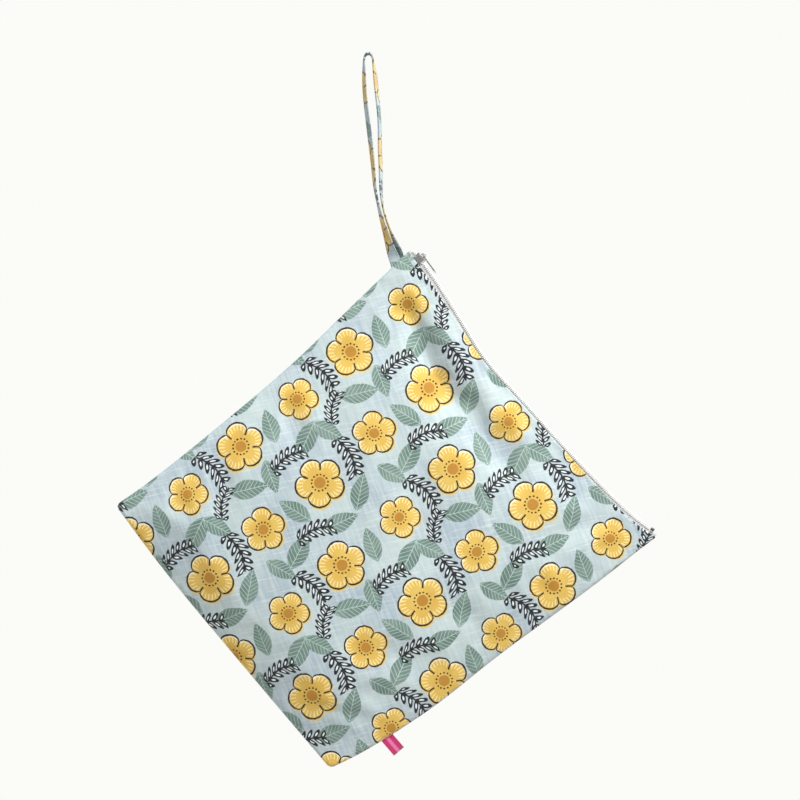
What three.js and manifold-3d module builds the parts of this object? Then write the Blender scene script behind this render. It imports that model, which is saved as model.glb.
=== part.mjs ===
// A flat soft toiletry bag with a zip mouth, a wrist strap and a side label. It hangs by its strap,
// turned on its corner. Millimetres, +X right, +Z up, and the front faces -Y. The origin is the
// inside of the top of the strap's loop, where the bag hangs.

import * as THREE from 'three';
import { mergeVertices } from 'three/addons/utils/BufferGeometryUtils.js';
import Module from 'manifold-3d';

const manifold = await Module();
manifold.setup();

// Clearance between pieces that touch
const GAP = 0.3;

// The bag from the front, before it is turned
const MOUTH_WIDTH = 298;
const BOTTOM_WIDTH = 268;
const STRAP_SIDE_HEIGHT = 306;
const FAR_SIDE_HEIGHT = 314;
const CORNER_RADIUS = 4;

// The cloth with its backing, and how far it stands out from the seam
const CLOTH = 1.2;
const SEAM_RISE = 2.2;
const SEAM_ROLL = 3;
const FRONT_PUFF = 13.2;
const BACK_PUFF = 7;

// The largest cells of the two cloth panels
const FRONT_CELL = 12;
const BACK_CELL = 16;

// How the bag hangs: its turn, and its zip corner measured from the origin
const BAG_TURN = 49.1;
const CORNER_ASIDE = 31.6;
const CORNER_DROP = 157;

// Zip
const COIL_WIDTH = 4.8;
const COIL_HEIGHT = 2;
const COIL_SHOULDER = 0.7;
const TAPE = 1;
const TAPE_SPREAD = 0.75;
const TAPE_DEPTH = 9.4;
const TAPE_INSET = 0.5;
const COIL_INSET = 1.6;
const ZIP_SHOWN = 4.6;
const ZIP_STEPS = 40;
const STOP_FROM_END = 5;
const STOP_LENGTH = 2.4;
const STOP_WALL = 0.5;

// Zip slider and its pull tab
const SLIDER_FROM_CORNER = 10;
const SLIDER_LENGTH = 9;
const SLIDER_NOSE = 2.4;
const SLIDER_WALL = 0.9;
const SLIDER_PLATE = 1.2;
const SLIDER_LIP = 0.8;
const BRIDGE_WIDTH = 2;
const BRIDGE_WALL = 0.9;
const TAB_LENGTH = 17;
const TAB_THICKNESS = 1.1;
const TAB_EYE_WIDTH = 5;
const TAB_WAIST_WIDTH = 3.6;
const TAB_END_WIDTH = 5.6;
const TAB_DROOP = 3;

// Strap
const STRAP_WIDTH = 9;
const STRAP_THICKNESS = 1.6;
const STRAP_STAGGER = 2.4;
const STRAP_SEWN_IN = 8;
const STRAP_LEAN = 11;
const HANG_RADIUS = 2.7;

// Side label
const LABEL_WIDTH = 10.2;
const LABEL_LENGTH = 14.5;
const LABEL_THICKNESS = 1.2;
const LABEL_SEWN_IN = 5;
const LABEL_FOLD_RADIUS = 0.8;
const LABEL_FROM_BOTTOM = 50;

// How far the seam takes to close again beside what is sewn into it
const SEAM_FADE = 8;

// Faces round a curve: the slider's nose, its bridge, the tab's ends and the label's fold
const NOSE_FACES = 4;
const BRIDGE_FACES = 10;
const TAB_FACES = 8;
const LABEL_FOLD_FACES = 6;

// The least distance between two lines of a panel's grid
const LEAST_CELL = 0.3;

// The mouth's cloth edge from strap side to far side. out is how far it stands out of the straight
// line between the corners, as a share of the mouth's width. shown is how much of the zip stands
// above the cloth there, as a share of ZIP_SHOWN.
const MOUTH_EDGE = [
  { at: 0.0, out: 0.0, shown: 0.98 },
  { at: 0.08, out: -0.0054, shown: 1.08 },
  { at: 0.2, out: -0.0211, shown: 1.0 },
  { at: 0.35, out: -0.0396, shown: 0.74 },
  { at: 0.5, out: -0.0362, shown: 0.66 },
  { at: 0.62, out: -0.0342, shown: 0.68 },
  { at: 0.8, out: -0.029, shown: 0.9 },
  { at: 0.92, out: -0.0205, shown: 1.1 },
  { at: 1.0, out: 0.0, shown: 0.95 },
];

// The three sewn edges. out is how far each stands out of its straight line, as a share of its length.
const STRAP_SIDE_EDGE = [
  { at: 0.0, out: 0.0 },
  { at: 0.2, out: -0.0103 },
  { at: 0.42, out: -0.0222 },
  { at: 0.7, out: -0.0189 },
  { at: 0.9, out: -0.0103 },
  { at: 1.0, out: 0.0 },
];
const FAR_SIDE_EDGE = [
  { at: 0.0, out: 0.0 },
  { at: 0.2, out: 0.0098 },
  { at: 0.5, out: 0.0146 },
  { at: 0.7, out: 0.0248 },
  { at: 0.9, out: 0.0155 },
  { at: 1.0, out: 0.0 },
];
const BOTTOM_EDGE = [
  { at: 0.0, out: 0.0 },
  { at: 0.25, out: 0.0103 },
  { at: 0.6, out: 0.0074 },
  { at: 1.0, out: 0.0 },
];

// Sections down the bag. front and back are how full each side is, as a share of its puff.
const SECTIONS = [
  { at: 0.0, front: 0.0, back: 0.0 },
  { at: 0.07, front: 0.3, back: 0.26 },
  { at: 0.2, front: 0.62, back: 0.56 },
  { at: 0.38, front: 0.86, back: 0.84 },
  { at: 0.58, front: 1.0, back: 1.0 },
  { at: 0.76, front: 1.0, back: 0.96 },
  { at: 0.88, front: 0.84, back: 0.76 },
  { at: 0.96, front: 0.42, back: 0.36 },
  { at: 1.0, front: 0.0, back: 0.0 },
];

// How sharply the sides of a section turn down to the seam: 2 is a round arch, more is flatter on top
const SHOULDER = 3.4;

// Creases and swells. Each runs between two places, given as shares of the width and the height.
// spread is its half-width as a share of the width, and rise its height as a share of how full the
// bag is there.
const FRONT_FOLDS = [
  { fromAcross: 0.1, fromDown: 0.07, toAcross: 0.35, toDown: 0.15, spread: 0.05, rise: -0.5 },
  { fromAcross: 0.35, fromDown: 0.15, toAcross: 0.56, toDown: 0.125, spread: 0.048, rise: -0.45 },
  { fromAcross: 0.2, fromDown: 0.24, toAcross: 0.55, toDown: 0.27, spread: 0.07, rise: 0.14 },
  { fromAcross: 0.05, fromDown: 0.16, toAcross: 0.13, toDown: 0.5, spread: 0.04, rise: -0.14 },
  { fromAcross: 0.12, fromDown: 0.2, toAcross: 0.3, toDown: 0.6, spread: 0.05, rise: 0.1 },
  { fromAcross: 0.94, fromDown: 0.05, toAcross: 0.84, toDown: 0.18, spread: 0.05, rise: -0.24 },
  { fromAcross: 0.81, fromDown: 0.46, toAcross: 0.86, toDown: 0.54, spread: 0.05, rise: -0.16 },
  { fromAcross: 0.36, fromDown: 0.84, toAcross: 0.62, toDown: 0.88, spread: 0.05, rise: -0.1 },
];
const BACK_FOLDS = [
  { fromAcross: 0.12, fromDown: 0.12, toAcross: 0.42, toDown: 0.3, spread: 0.06, rise: -0.25 },
  { fromAcross: 0.86, fromDown: 0.14, toAcross: 0.66, toDown: 0.34, spread: 0.06, rise: -0.2 },
  { fromAcross: 0.3, fromDown: 0.7, toAcross: 0.64, toDown: 0.74, spread: 0.07, rise: -0.12 },
];

// The strap's two legs, from the top of the loop to the seam. aside is how far a leg runs off the
// straight line between the two, as a share of the strap's drop. depth is in half strap pitches
// towards the back. turn is the angle between the leg's outer face and the front.
const FRONT_LEG = [
  { at: 0.1, aside: -0.035, depth: 0.0, turn: 76 },
  { at: 0.2, aside: -0.0445, depth: 0.0, turn: 74 },
  { at: 0.3, aside: -0.0475, depth: 0.0, turn: 74 },
  { at: 0.38, aside: -0.048, depth: 0.0, turn: 71 },
  { at: 0.46, aside: -0.0502, depth: 0.0, turn: 73 },
  { at: 0.55, aside: -0.0528, depth: 0.0, turn: 75 },
  { at: 0.64, aside: -0.0585, depth: 0.0, turn: 80 },
  { at: 0.71, aside: -0.055, depth: -0.2, turn: 84 },
  { at: 0.78, aside: -0.049, depth: -0.4, turn: 76 },
  { at: 0.87, aside: -0.0345, depth: -0.8, turn: 62 },
  { at: 0.95, aside: -0.022, depth: -1.2, turn: 38 },
];
const BACK_LEG = [
  { at: 0.1, aside: 0.018, depth: 0.0, turn: 74 },
  { at: 0.2, aside: 0.0138, depth: 0.0, turn: 74 },
  { at: 0.3, aside: 0.01, depth: 0.0, turn: 77 },
  { at: 0.38, aside: 0.002, depth: 0.0, turn: 76 },
  { at: 0.46, aside: -0.009, depth: 0.0, turn: 75 },
  { at: 0.55, aside: -0.017, depth: 0.0, turn: 75 },
  { at: 0.64, aside: -0.029, depth: 0.1, turn: 78 },
  { at: 0.71, aside: -0.034, depth: 0.2, turn: 85 },
  { at: 0.78, aside: -0.0285, depth: 0.4, turn: 90 },
  { at: 0.87, aside: -0.0085, depth: 0.8, turn: 96 },
  { at: 0.95, aside: 0.011, depth: 1.2, turn: 135 },
];
const LOOP_STEPS = 8;
const STRAP_RINGS_PER_ROW = 2;

// Materials
const clothFinish = { color: 0xb4c8cf, roughness: 0.72, metalness: 0 };
const finishes = {
  cloth: new THREE.MeshStandardMaterial(clothFinish),
  clothBack: new THREE.MeshStandardMaterial(clothFinish),
  strap: new THREE.MeshStandardMaterial({ color: 0xa9bcbf, roughness: 0.75, metalness: 0 }),
  tape: new THREE.MeshStandardMaterial({ color: 0xf2f2ef, roughness: 0.85, metalness: 0 }),
  coil: new THREE.MeshStandardMaterial({ color: 0xf4f4f2, roughness: 0.4, metalness: 0 }),
  slider: new THREE.MeshStandardMaterial({ color: 0xd9dadb, roughness: 0.3, metalness: 0.9 }),
  stop: new THREE.MeshStandardMaterial({ color: 0x6e6e70, roughness: 0.4, metalness: 0.9 }),
  label: new THREE.MeshStandardMaterial({ color: 0xd3246f, roughness: 0.7, metalness: 0 }),
};

// A table's column at a share of the way along it, on a smooth curve through the rows
function read(table, column, share) {
  let row = 0;
  while (row < table.length - 2 && share > table[row + 1].at) {
    row += 1;
  }
  const slopeAt = (index) => {
    const before = table[Math.max(index - 1, 0)];
    const after = table[Math.min(index + 1, table.length - 1)];
    return (after[column] - before[column]) / (after.at - before.at);
  };
  const start = table[row];
  const end = table[row + 1];
  const length = end.at - start.at;
  const t = (share - start.at) / length;
  const bend = t * t * (3 - 2 * t);
  const leaving = t * (1 - t) * (1 - t) * length * slopeAt(row);
  const arriving = t * t * (t - 1) * length * slopeAt(row + 1);
  return start[column] + (end[column] - start[column]) * bend + leaving + arriving;
}

// 1 up to the distance flat, then smoothly down to 0 over the distance fade
function plateau(distance, flat, fade) {
  return 1 - THREE.MathUtils.smoothstep(distance, flat, flat + fade);
}

// One closed body through rings of points. Every ring holds the same section, and its two ends are
// closed by the faces of that section's flat outline.
function loft(rings, section) {
  const count = section.length;
  const positions = rings.flat().flatMap((point) => [point.x, point.y, point.z]);
  const indices = [];
  for (let ring = 0; ring < rings.length - 1; ring += 1) {
    for (let side = 0; side < count; side += 1) {
      const here = ring * count + side;
      const next = ring * count + ((side + 1) % count);
      indices.push(here, next, here + count, next, next + count, here + count);
    }
  }
  const lastRing = (rings.length - 1) * count;
  for (const [a, b, c] of THREE.ShapeUtils.triangulateShape(section, [])) {
    indices.push(a, c, b, lastRing + a, lastRing + b, lastRing + c);
  }
  const geometry = new THREE.BufferGeometry();
  geometry.setAttribute('position', new THREE.Float32BufferAttribute(positions, 3));
  geometry.setIndex(indices);
  return geometry;
}

// A geometry as a solid that can be cut and joined
function solid(geometry) {
  const bare = new THREE.BufferGeometry();
  bare.setAttribute('position', geometry.getAttribute('position').clone());
  bare.setIndex(geometry.index ? geometry.index.clone() : null);
  const merged = mergeVertices(bare, 1e-4);
  const mesh = new manifold.Mesh({
    numProp: 3,
    vertProperties: new Float32Array(merged.getAttribute('position').array),
    triVerts: new Uint32Array(merged.index.array),
  });
  return new manifold.Manifold(mesh);
}

function geometryOf(body) {
  const mesh = body.getMesh();
  const geometry = new THREE.BufferGeometry();
  geometry.setAttribute('position', new THREE.BufferAttribute(mesh.vertProperties, 3));
  geometry.setIndex(new THREE.BufferAttribute(mesh.triVerts, 1));
  return geometry;
}

// A box between two values on each axis
function boxBetween(x, y, z) {
  const box = new THREE.BoxGeometry(x[1] - x[0], y[1] - y[0], z[1] - z[0]);
  return box.translate((x[0] + x[1]) / 2, (y[0] + y[1]) / 2, (z[0] + z[1]) / 2);
}

function named(name, geometry, material) {
  const mesh = new THREE.Mesh(geometry, material);
  mesh.name = name;
  return mesh;
}

// The bag's own frame: x runs along the zip from the strap corner, z out of the mouth
const bagTurn = THREE.MathUtils.degToRad(BAG_TURN);

function bagToWorld(x, z) {
  const point = new THREE.Vector3(x, 0, z).applyAxisAngle(new THREE.Vector3(0, 1, 0), bagTurn);
  return point.add(new THREE.Vector3(CORNER_ASIDE, 0, -CORNER_DROP));
}

function widthAt(down) {
  return THREE.MathUtils.lerp(MOUTH_WIDTH, BOTTOM_WIDTH, down);
}

function heightAt(across) {
  return THREE.MathUtils.lerp(STRAP_SIDE_HEIGHT, FAR_SIDE_HEIGHT, across);
}

// The place in the bag's outline at a share of the way across and down
function outlinePoint(across, down) {
  const mouth = MOUTH_WIDTH * read(MOUTH_EDGE, 'out', across);
  const bottom = BOTTOM_WIDTH * read(BOTTOM_EDGE, 'out', across);
  const strapSide = STRAP_SIDE_HEIGHT * read(STRAP_SIDE_EDGE, 'out', down);
  const farSide = FAR_SIDE_HEIGHT * read(FAR_SIDE_EDGE, 'out', down);
  return {
    x: across * widthAt(down) - (1 - across) * strapSide + across * farSide,
    z: -down * heightAt(across) + (1 - down) * mouth - down * bottom,
  };
}

// The top of the zip's coil at a distance from the strap corner
function zipTop(x) {
  const share = x / MOUTH_WIDTH;
  return MOUTH_WIDTH * read(MOUTH_EDGE, 'out', share) + ZIP_SHOWN * read(MOUTH_EDGE, 'shown', share);
}

// The way that the strap runs into the bag, and the places where its two ends cross the seam. They
// start below the ends of the zip tape.
const strapAngle = bagTurn + THREE.MathUtils.degToRad(STRAP_LEAN);
const strapInward = { x: Math.sin(strapAngle), z: -Math.cos(strapAngle) };
const strapChord = STRAP_WIDTH / strapInward.x;
const tapeBelowCloth = TAPE_DEPTH - ZIP_SHOWN * MOUTH_EDGE[0].shown;
const backEndDown = tapeBelowCloth + 2 * GAP + strapChord / 2;
const frontEndDown = backEndDown + STRAP_STAGGER;
const strapPitch = STRAP_THICKNESS + GAP;

// What is sewn into the side seams: where, the way in, and the room that it needs
function seamPoint(across, fromTop) {
  const down = fromTop / heightAt(across);
  return outlinePoint(across, down);
}

const labelDown = FAR_SIDE_HEIGHT - LABEL_FROM_BOTTOM;
const sewnIn = [
  {
    place: seamPoint(0, (frontEndDown + backEndDown) / 2),
    inward: strapInward,
    halfWidth: (STRAP_WIDTH + STRAP_STAGGER * strapInward.x) / 2 + 2 * GAP,
    reach: STRAP_SEWN_IN + 4 * GAP,
    room: strapPitch,
  },
  {
    place: seamPoint(1, labelDown),
    inward: { x: -1, z: 0 },
    halfWidth: LABEL_WIDTH / 2 + 2 * GAP,
    reach: LABEL_SEWN_IN + 2 * GAP,
    room: LABEL_THICKNESS / 2 + GAP / 2,
  },
];

// How far the seam is spread at a place by what is sewn into it
function seamSpread(point) {
  let spread = 0;
  for (const piece of sewnIn) {
    const x = point.x - piece.place.x;
    const z = point.z - piece.place.z;
    const along = x * piece.inward.x + z * piece.inward.z;
    const beside = Math.abs(x * piece.inward.z - z * piece.inward.x);
    const shown = plateau(beside, piece.halfWidth, SEAM_FADE) * plateau(along, piece.reach, SEAM_FADE);
    spread = Math.max(spread, piece.room * shown);
  }
  return spread;
}

// The room inside the mouth, which holds the zip tapes and closes again below them
const mouthRoom = Math.max(TAPE_SPREAD + TAPE + GAP / 2, strapPitch);
const mouthFlat = tapeBelowCloth + 2 * GAP;

// How much the folds add to the fullness at a place, as a share of it
function foldShare(folds, across, down) {
  let total = 0;
  for (const fold of folds) {
    const run = { x: fold.toAcross - fold.fromAcross, z: fold.toDown - fold.fromDown };
    const away = { x: across - fold.fromAcross, z: down - fold.fromDown };
    const share = (away.x * run.x + away.z * run.z) / (run.x * run.x + run.z * run.z);
    const t = THREE.MathUtils.clamp(share, 0, 1);
    const distance = Math.hypot(away.x - t * run.x, away.z - t * run.z);
    total += fold.rise * Math.exp(-((distance / fold.spread) ** 2));
  }
  return total;
}

// A place on a cloth panel: the outer and the inner point at a distance across and down. The cloth
// rolls over a quarter circle to the seam, and the two bottom corners are rounded.
function panelPoints(side, across, down) {
  const width = widthAt(down);
  const height = heightAt(across);
  const farHalf = across > 0.5;
  const fromSide = (farHalf ? 1 - across : across) * width;
  const fromBottom = (1 - down) * height;

  const a = Math.max(0, 1 - fromSide / CORNER_RADIUS);
  const b = Math.max(0, 1 - fromBottom / CORNER_RADIUS);
  const turned = { x: a * Math.sqrt(1 - (b * b) / 2), z: b * Math.sqrt(1 - (a * a) / 2) };
  const reach = Math.hypot(turned.x, turned.z);
  const fromSeam = CORNER_RADIUS * (1 - reach);
  const seamShare = THREE.MathUtils.clamp(1 - fromSeam / SEAM_ROLL, 0, 1);
  const rise = Math.sqrt(1 - seamShare * seamShare);

  const place = (inset) => {
    const shift = reach > 0 ? (inset * seamShare) / reach : 0;
    const x = (a > 0 ? CORNER_RADIUS * (1 - turned.x) : fromSide) + shift * turned.x;
    const z = (b > 0 ? CORNER_RADIUS * (1 - turned.z) : fromBottom) + shift * turned.z;
    return outlinePoint(farHalf ? 1 - x / width : x / width, 1 - z / height);
  };
  const outer = place(0);
  const inner = place(CLOTH);

  const fromMiddle = Math.abs(2 * across - 1);
  const arch = 1 - fromMiddle ** SHOULDER;
  const fullness = side.puff * read(SECTIONS, side.column, down) * arch;
  const body = fullness * (1 + foldShare(side.folds, across, down));
  const atMouth = plateau(down * height, mouthFlat, SEAM_FADE);
  const level = (point, cloth) => {
    const sewn = (SEAM_RISE - CLOTH + cloth) * rise + body + seamSpread(point);
    return side.facing * (GAP / 2 + sewn * (1 - atMouth) + (mouthRoom + cloth) * atMouth);
  };
  return {
    outer: new THREE.Vector3(outer.x, level(outer, CLOTH), outer.z),
    inner: new THREE.Vector3(inner.x, level(inner, 0), inner.z),
  };
}

// Places along a length: those that are needed, and between them others no more than a step apart
function stations(needed, length, step) {
  const sorted = needed.filter((value) => value >= 0 && value <= length).sort((a, b) => a - b);
  const kept = sorted.filter((value, index) => index === 0 || value - sorted[index - 1] > LEAST_CELL);
  const all = [];
  for (let index = 0; index < kept.length - 1; index += 1) {
    const span = kept[index + 1] - kept[index];
    const parts = Math.ceil(span / step);
    for (let part = 0; part < parts; part += 1) {
      all.push(kept[index] + (span * part) / parts);
    }
  }
  all.push(length);
  return all.map((value) => value / length);
}

// One cloth panel: an outer and an inner sheet over the same grid, joined along all four edges
function clothPanel(side) {
  const rollSteps = side.rollAngles.map((angle) => SEAM_ROLL * (1 - Math.cos(angle)));
  const width = (MOUTH_WIDTH + BOTTOM_WIDTH) / 2;
  const height = (STRAP_SIDE_HEIGHT + FAR_SIDE_HEIGHT) / 2;
  const strapReach = STRAP_SEWN_IN * strapInward.x;
  const acrossAt = stations(
    [
      ...rollSteps,
      ...rollSteps.map((step) => width - step),
      CORNER_RADIUS,
      width - CORNER_RADIUS,
      strapReach + SEAM_FADE,
      width - LABEL_SEWN_IN - SEAM_FADE,
    ],
    width,
    side.cell,
  );
  const halfSpread = strapChord / 2 + STRAP_STAGGER / 2;
  const strapDown = (frontEndDown + backEndDown) / 2;
  const downAt = stations(
    [
      0,
      mouthFlat,
      strapDown - halfSpread / 2,
      strapDown + halfSpread,
      strapDown + halfSpread + SEAM_FADE,
      labelDown - LABEL_WIDTH / 2 - SEAM_FADE,
      labelDown - LABEL_WIDTH / 2,
      labelDown + LABEL_WIDTH / 2,
      labelDown + LABEL_WIDTH / 2 + SEAM_FADE,
      height - CORNER_RADIUS,
      ...rollSteps.map((step) => height - step),
    ],
    height,
    side.cell,
  );

  const columns = acrossAt.length;
  const rows = downAt.length;
  const outer = [];
  const inner = [];
  for (const down of downAt) {
    for (const across of acrossAt) {
      const points = panelPoints(side, across, down);
      outer.push(points.outer);
      inner.push(points.inner);
    }
  }
  const positions = [...outer, ...inner].flatMap((point) => [point.x, point.y, point.z]);
  const indices = [];
  const quad = (a, b, c, d) => {
    const faces = side.facing < 0 ? [a, b, c, a, c, d] : [a, c, b, a, d, c];
    indices.push(...faces);
  };
  const total = columns * rows;
  for (let row = 0; row < rows - 1; row += 1) {
    for (let column = 0; column < columns - 1; column += 1) {
      const a = row * columns + column;
      const b = a + columns;
      quad(a, b, b + 1, a + 1);
      quad(total + a, total + a + 1, total + b + 1, total + b);
    }
  }
  const rim = [];
  for (let column = 0; column < columns - 1; column += 1) {
    rim.push(column);
  }
  for (let row = 0; row < rows - 1; row += 1) {
    rim.push(row * columns + columns - 1);
  }
  for (let column = columns - 1; column > 0; column -= 1) {
    rim.push((rows - 1) * columns + column);
  }
  for (let row = rows - 1; row > 0; row -= 1) {
    rim.push(row * columns);
  }
  rim.forEach((here, index) => {
    const next = rim[(index + 1) % rim.length];
    quad(here, next, total + next, total + here);
  });
  const geometry = new THREE.BufferGeometry();
  geometry.setAttribute('position', new THREE.Float32BufferAttribute(positions, 3));
  geometry.setIndex(indices);
  return geometry;
}

// One zip tape: a strip that stands behind the cloth's edge and folds in under the coil
function zipTape(facing) {
  const section = [
    new THREE.Vector2(GAP / 2, 0),
    new THREE.Vector2(TAPE_SPREAD + TAPE, 0),
    new THREE.Vector2(TAPE_SPREAD + TAPE, COIL_HEIGHT + GAP - TAPE_DEPTH),
    new THREE.Vector2(TAPE_SPREAD, COIL_HEIGHT + GAP - TAPE_DEPTH),
    new THREE.Vector2(TAPE_SPREAD, -TAPE),
    new THREE.Vector2(GAP / 2, -TAPE),
  ];
  const turned = facing > 0 ? [...section].reverse() : section;
  const rings = [];
  for (let step = 0; step <= ZIP_STEPS; step += 1) {
    const x = THREE.MathUtils.lerp(TAPE_INSET, MOUTH_WIDTH - TAPE_INSET, step / ZIP_STEPS);
    const top = zipTop(x) - COIL_HEIGHT - GAP;
    rings.push(turned.map((corner) => new THREE.Vector3(x, facing * corner.x, top + corner.y)));
  }
  const flat = turned.map((corner) => new THREE.Vector2(facing * corner.x, corner.y));
  return loft(rings, flat);
}

// The closed coil: a low bar with a rounded top
function zipCoil() {
  const half = COIL_WIDTH / 2;
  const section = [
    new THREE.Vector2(-half, -COIL_HEIGHT),
    new THREE.Vector2(half, -COIL_HEIGHT),
    new THREE.Vector2(half, -COIL_SHOULDER),
    new THREE.Vector2(half - COIL_SHOULDER, 0),
    new THREE.Vector2(COIL_SHOULDER - half, 0),
    new THREE.Vector2(-half, -COIL_SHOULDER),
  ];
  const end = MOUTH_WIDTH - STOP_FROM_END - STOP_LENGTH - GAP;
  const rings = [];
  for (let step = 0; step <= ZIP_STEPS; step += 1) {
    const x = THREE.MathUtils.lerp(COIL_INSET, end, step / ZIP_STEPS);
    rings.push(section.map((corner) => new THREE.Vector3(x, corner.x, zipTop(x) + corner.y)));
  }
  return loft(rings, section);
}

// A place on the zip for the pieces that sit on its coil, turned to lie along it
function onZip(x) {
  const slope = (zipTop(x + 1) - zipTop(x - 1)) / 2;
  const place = new THREE.Group();
  place.position.set(x, 0, zipTop(x));
  place.rotation.y = -Math.atan(slope);
  return place;
}

// The metal stop pressed round the far end of the zip
function endStop() {
  const half = COIL_WIDTH / 2 + STOP_WALL;
  const shoulder = 2 * STOP_WALL;
  const outline = new THREE.Shape([
    new THREE.Vector2(-half, -COIL_HEIGHT),
    new THREE.Vector2(half, -COIL_HEIGHT),
    new THREE.Vector2(half, 0),
    new THREE.Vector2(half - shoulder, STOP_WALL),
    new THREE.Vector2(shoulder - half, STOP_WALL),
    new THREE.Vector2(-half, 0),
  ]);
  const block = new THREE.ExtrudeGeometry(outline, { depth: STOP_LENGTH, bevelEnabled: false });
  block.translate(0, 0, -STOP_LENGTH / 2);
  return block.rotateX(Math.PI / 2).rotateZ(Math.PI / 2);
}

// Slider: a channel round the coil, with two lips below it and a bridge for the tab on top
const channelHalf = COIL_WIDTH / 2 + GAP;
const plateTop = GAP + SLIDER_PLATE;
const eyeRadius = (TAB_THICKNESS / 2) * Math.SQRT2;
const bridgeInside = eyeRadius + GAP;
const hingeHeight = plateTop + bridgeInside;

function zipSlider() {
  const half = channelHalf + SLIDER_WALL;
  const length = SLIDER_LENGTH / 2;
  const plan = new THREE.Shape();
  plan.moveTo(-length, -half / 2);
  plan.quadraticCurveTo(-length, -half, -length + SLIDER_NOSE, -half);
  plan.lineTo(length - SLIDER_NOSE / 2, -half);
  plan.lineTo(length, -half + SLIDER_NOSE / 2);
  plan.lineTo(length, half - SLIDER_NOSE / 2);
  plan.lineTo(length - SLIDER_NOSE / 2, half);
  plan.lineTo(-length + SLIDER_NOSE, half);
  plan.quadraticCurveTo(-length, half, -length, half / 2);
  const bottom = -COIL_HEIGHT - GAP - SLIDER_LIP;
  const block = new THREE.ExtrudeGeometry(plan, {
    depth: plateTop - bottom,
    bevelEnabled: false,
    curveSegments: NOSE_FACES,
  });
  block.translate(0, 0, bottom);

  const through = [-SLIDER_LENGTH, SLIDER_LENGTH];
  const slotHalf = TAPE_SPREAD + TAPE + GAP;
  const channel = boxBetween(through, [-channelHalf, channelHalf], [-COIL_HEIGHT - GAP, GAP]);
  const slot = boxBetween(through, [-slotHalf, slotHalf], [bottom - GAP, -COIL_HEIGHT]);

  const outside = bridgeInside + BRIDGE_WALL;
  const root = plateTop - GAP;
  const arch = new THREE.Shape();
  arch.moveTo(-outside, root);
  arch.lineTo(-bridgeInside, root);
  arch.lineTo(-bridgeInside, hingeHeight);
  arch.absarc(0, hingeHeight, bridgeInside, Math.PI, 0, true);
  arch.lineTo(bridgeInside, root);
  arch.lineTo(outside, root);
  arch.lineTo(outside, hingeHeight);
  arch.absarc(0, hingeHeight, outside, 0, Math.PI, false);
  const bridge = new THREE.ExtrudeGeometry(arch, {
    depth: BRIDGE_WIDTH,
    bevelEnabled: false,
    curveSegments: BRIDGE_FACES,
  });
  bridge.translate(0, 0, -BRIDGE_WIDTH / 2).rotateX(Math.PI / 2);
  return geometryOf(solid(block).subtract(solid(channel)).subtract(solid(slot)).add(solid(bridge)));
}

// Pull tab: a flat plate whose eye goes round the bridge, with a hole near its free end
function pullTab() {
  const eye = TAB_EYE_WIDTH / 2;
  const waist = TAB_WAIST_WIDTH / 2;
  const end = TAB_END_WIDTH / 2;
  const barHalf = TAB_THICKNESS / 2;
  const windowHalf = BRIDGE_WIDTH / 2 + GAP;
  const windowEnd = Math.hypot(bridgeInside + BRIDGE_WALL, bridgeInside) + GAP;
  const outline = new THREE.Shape();
  outline.moveTo(-barHalf, -eye);
  outline.lineTo(windowEnd, -eye);
  outline.quadraticCurveTo(windowEnd + eye, -eye, windowEnd + eye, -waist);
  outline.lineTo(TAB_LENGTH - end, -end);
  outline.absarc(TAB_LENGTH - end, 0, end, -Math.PI / 2, Math.PI / 2, false);
  outline.lineTo(windowEnd + eye, waist);
  outline.quadraticCurveTo(windowEnd + eye, eye, windowEnd, eye);
  outline.lineTo(-barHalf, eye);
  const opening = new THREE.Path([
    new THREE.Vector2(barHalf, -windowHalf),
    new THREE.Vector2(barHalf, windowHalf),
    new THREE.Vector2(windowEnd, windowHalf),
    new THREE.Vector2(windowEnd, -windowHalf),
  ]);
  const hole = new THREE.Path();
  hole.absarc(TAB_LENGTH - end, 0, end / 2, 0, 2 * Math.PI, true);
  outline.holes.push(opening, hole);
  const plate = new THREE.ExtrudeGeometry(outline, {
    depth: TAB_THICKNESS,
    bevelEnabled: false,
    curveSegments: TAB_FACES,
  });
  return plate.translate(0, 0, -TAB_THICKNESS / 2);
}

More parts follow.
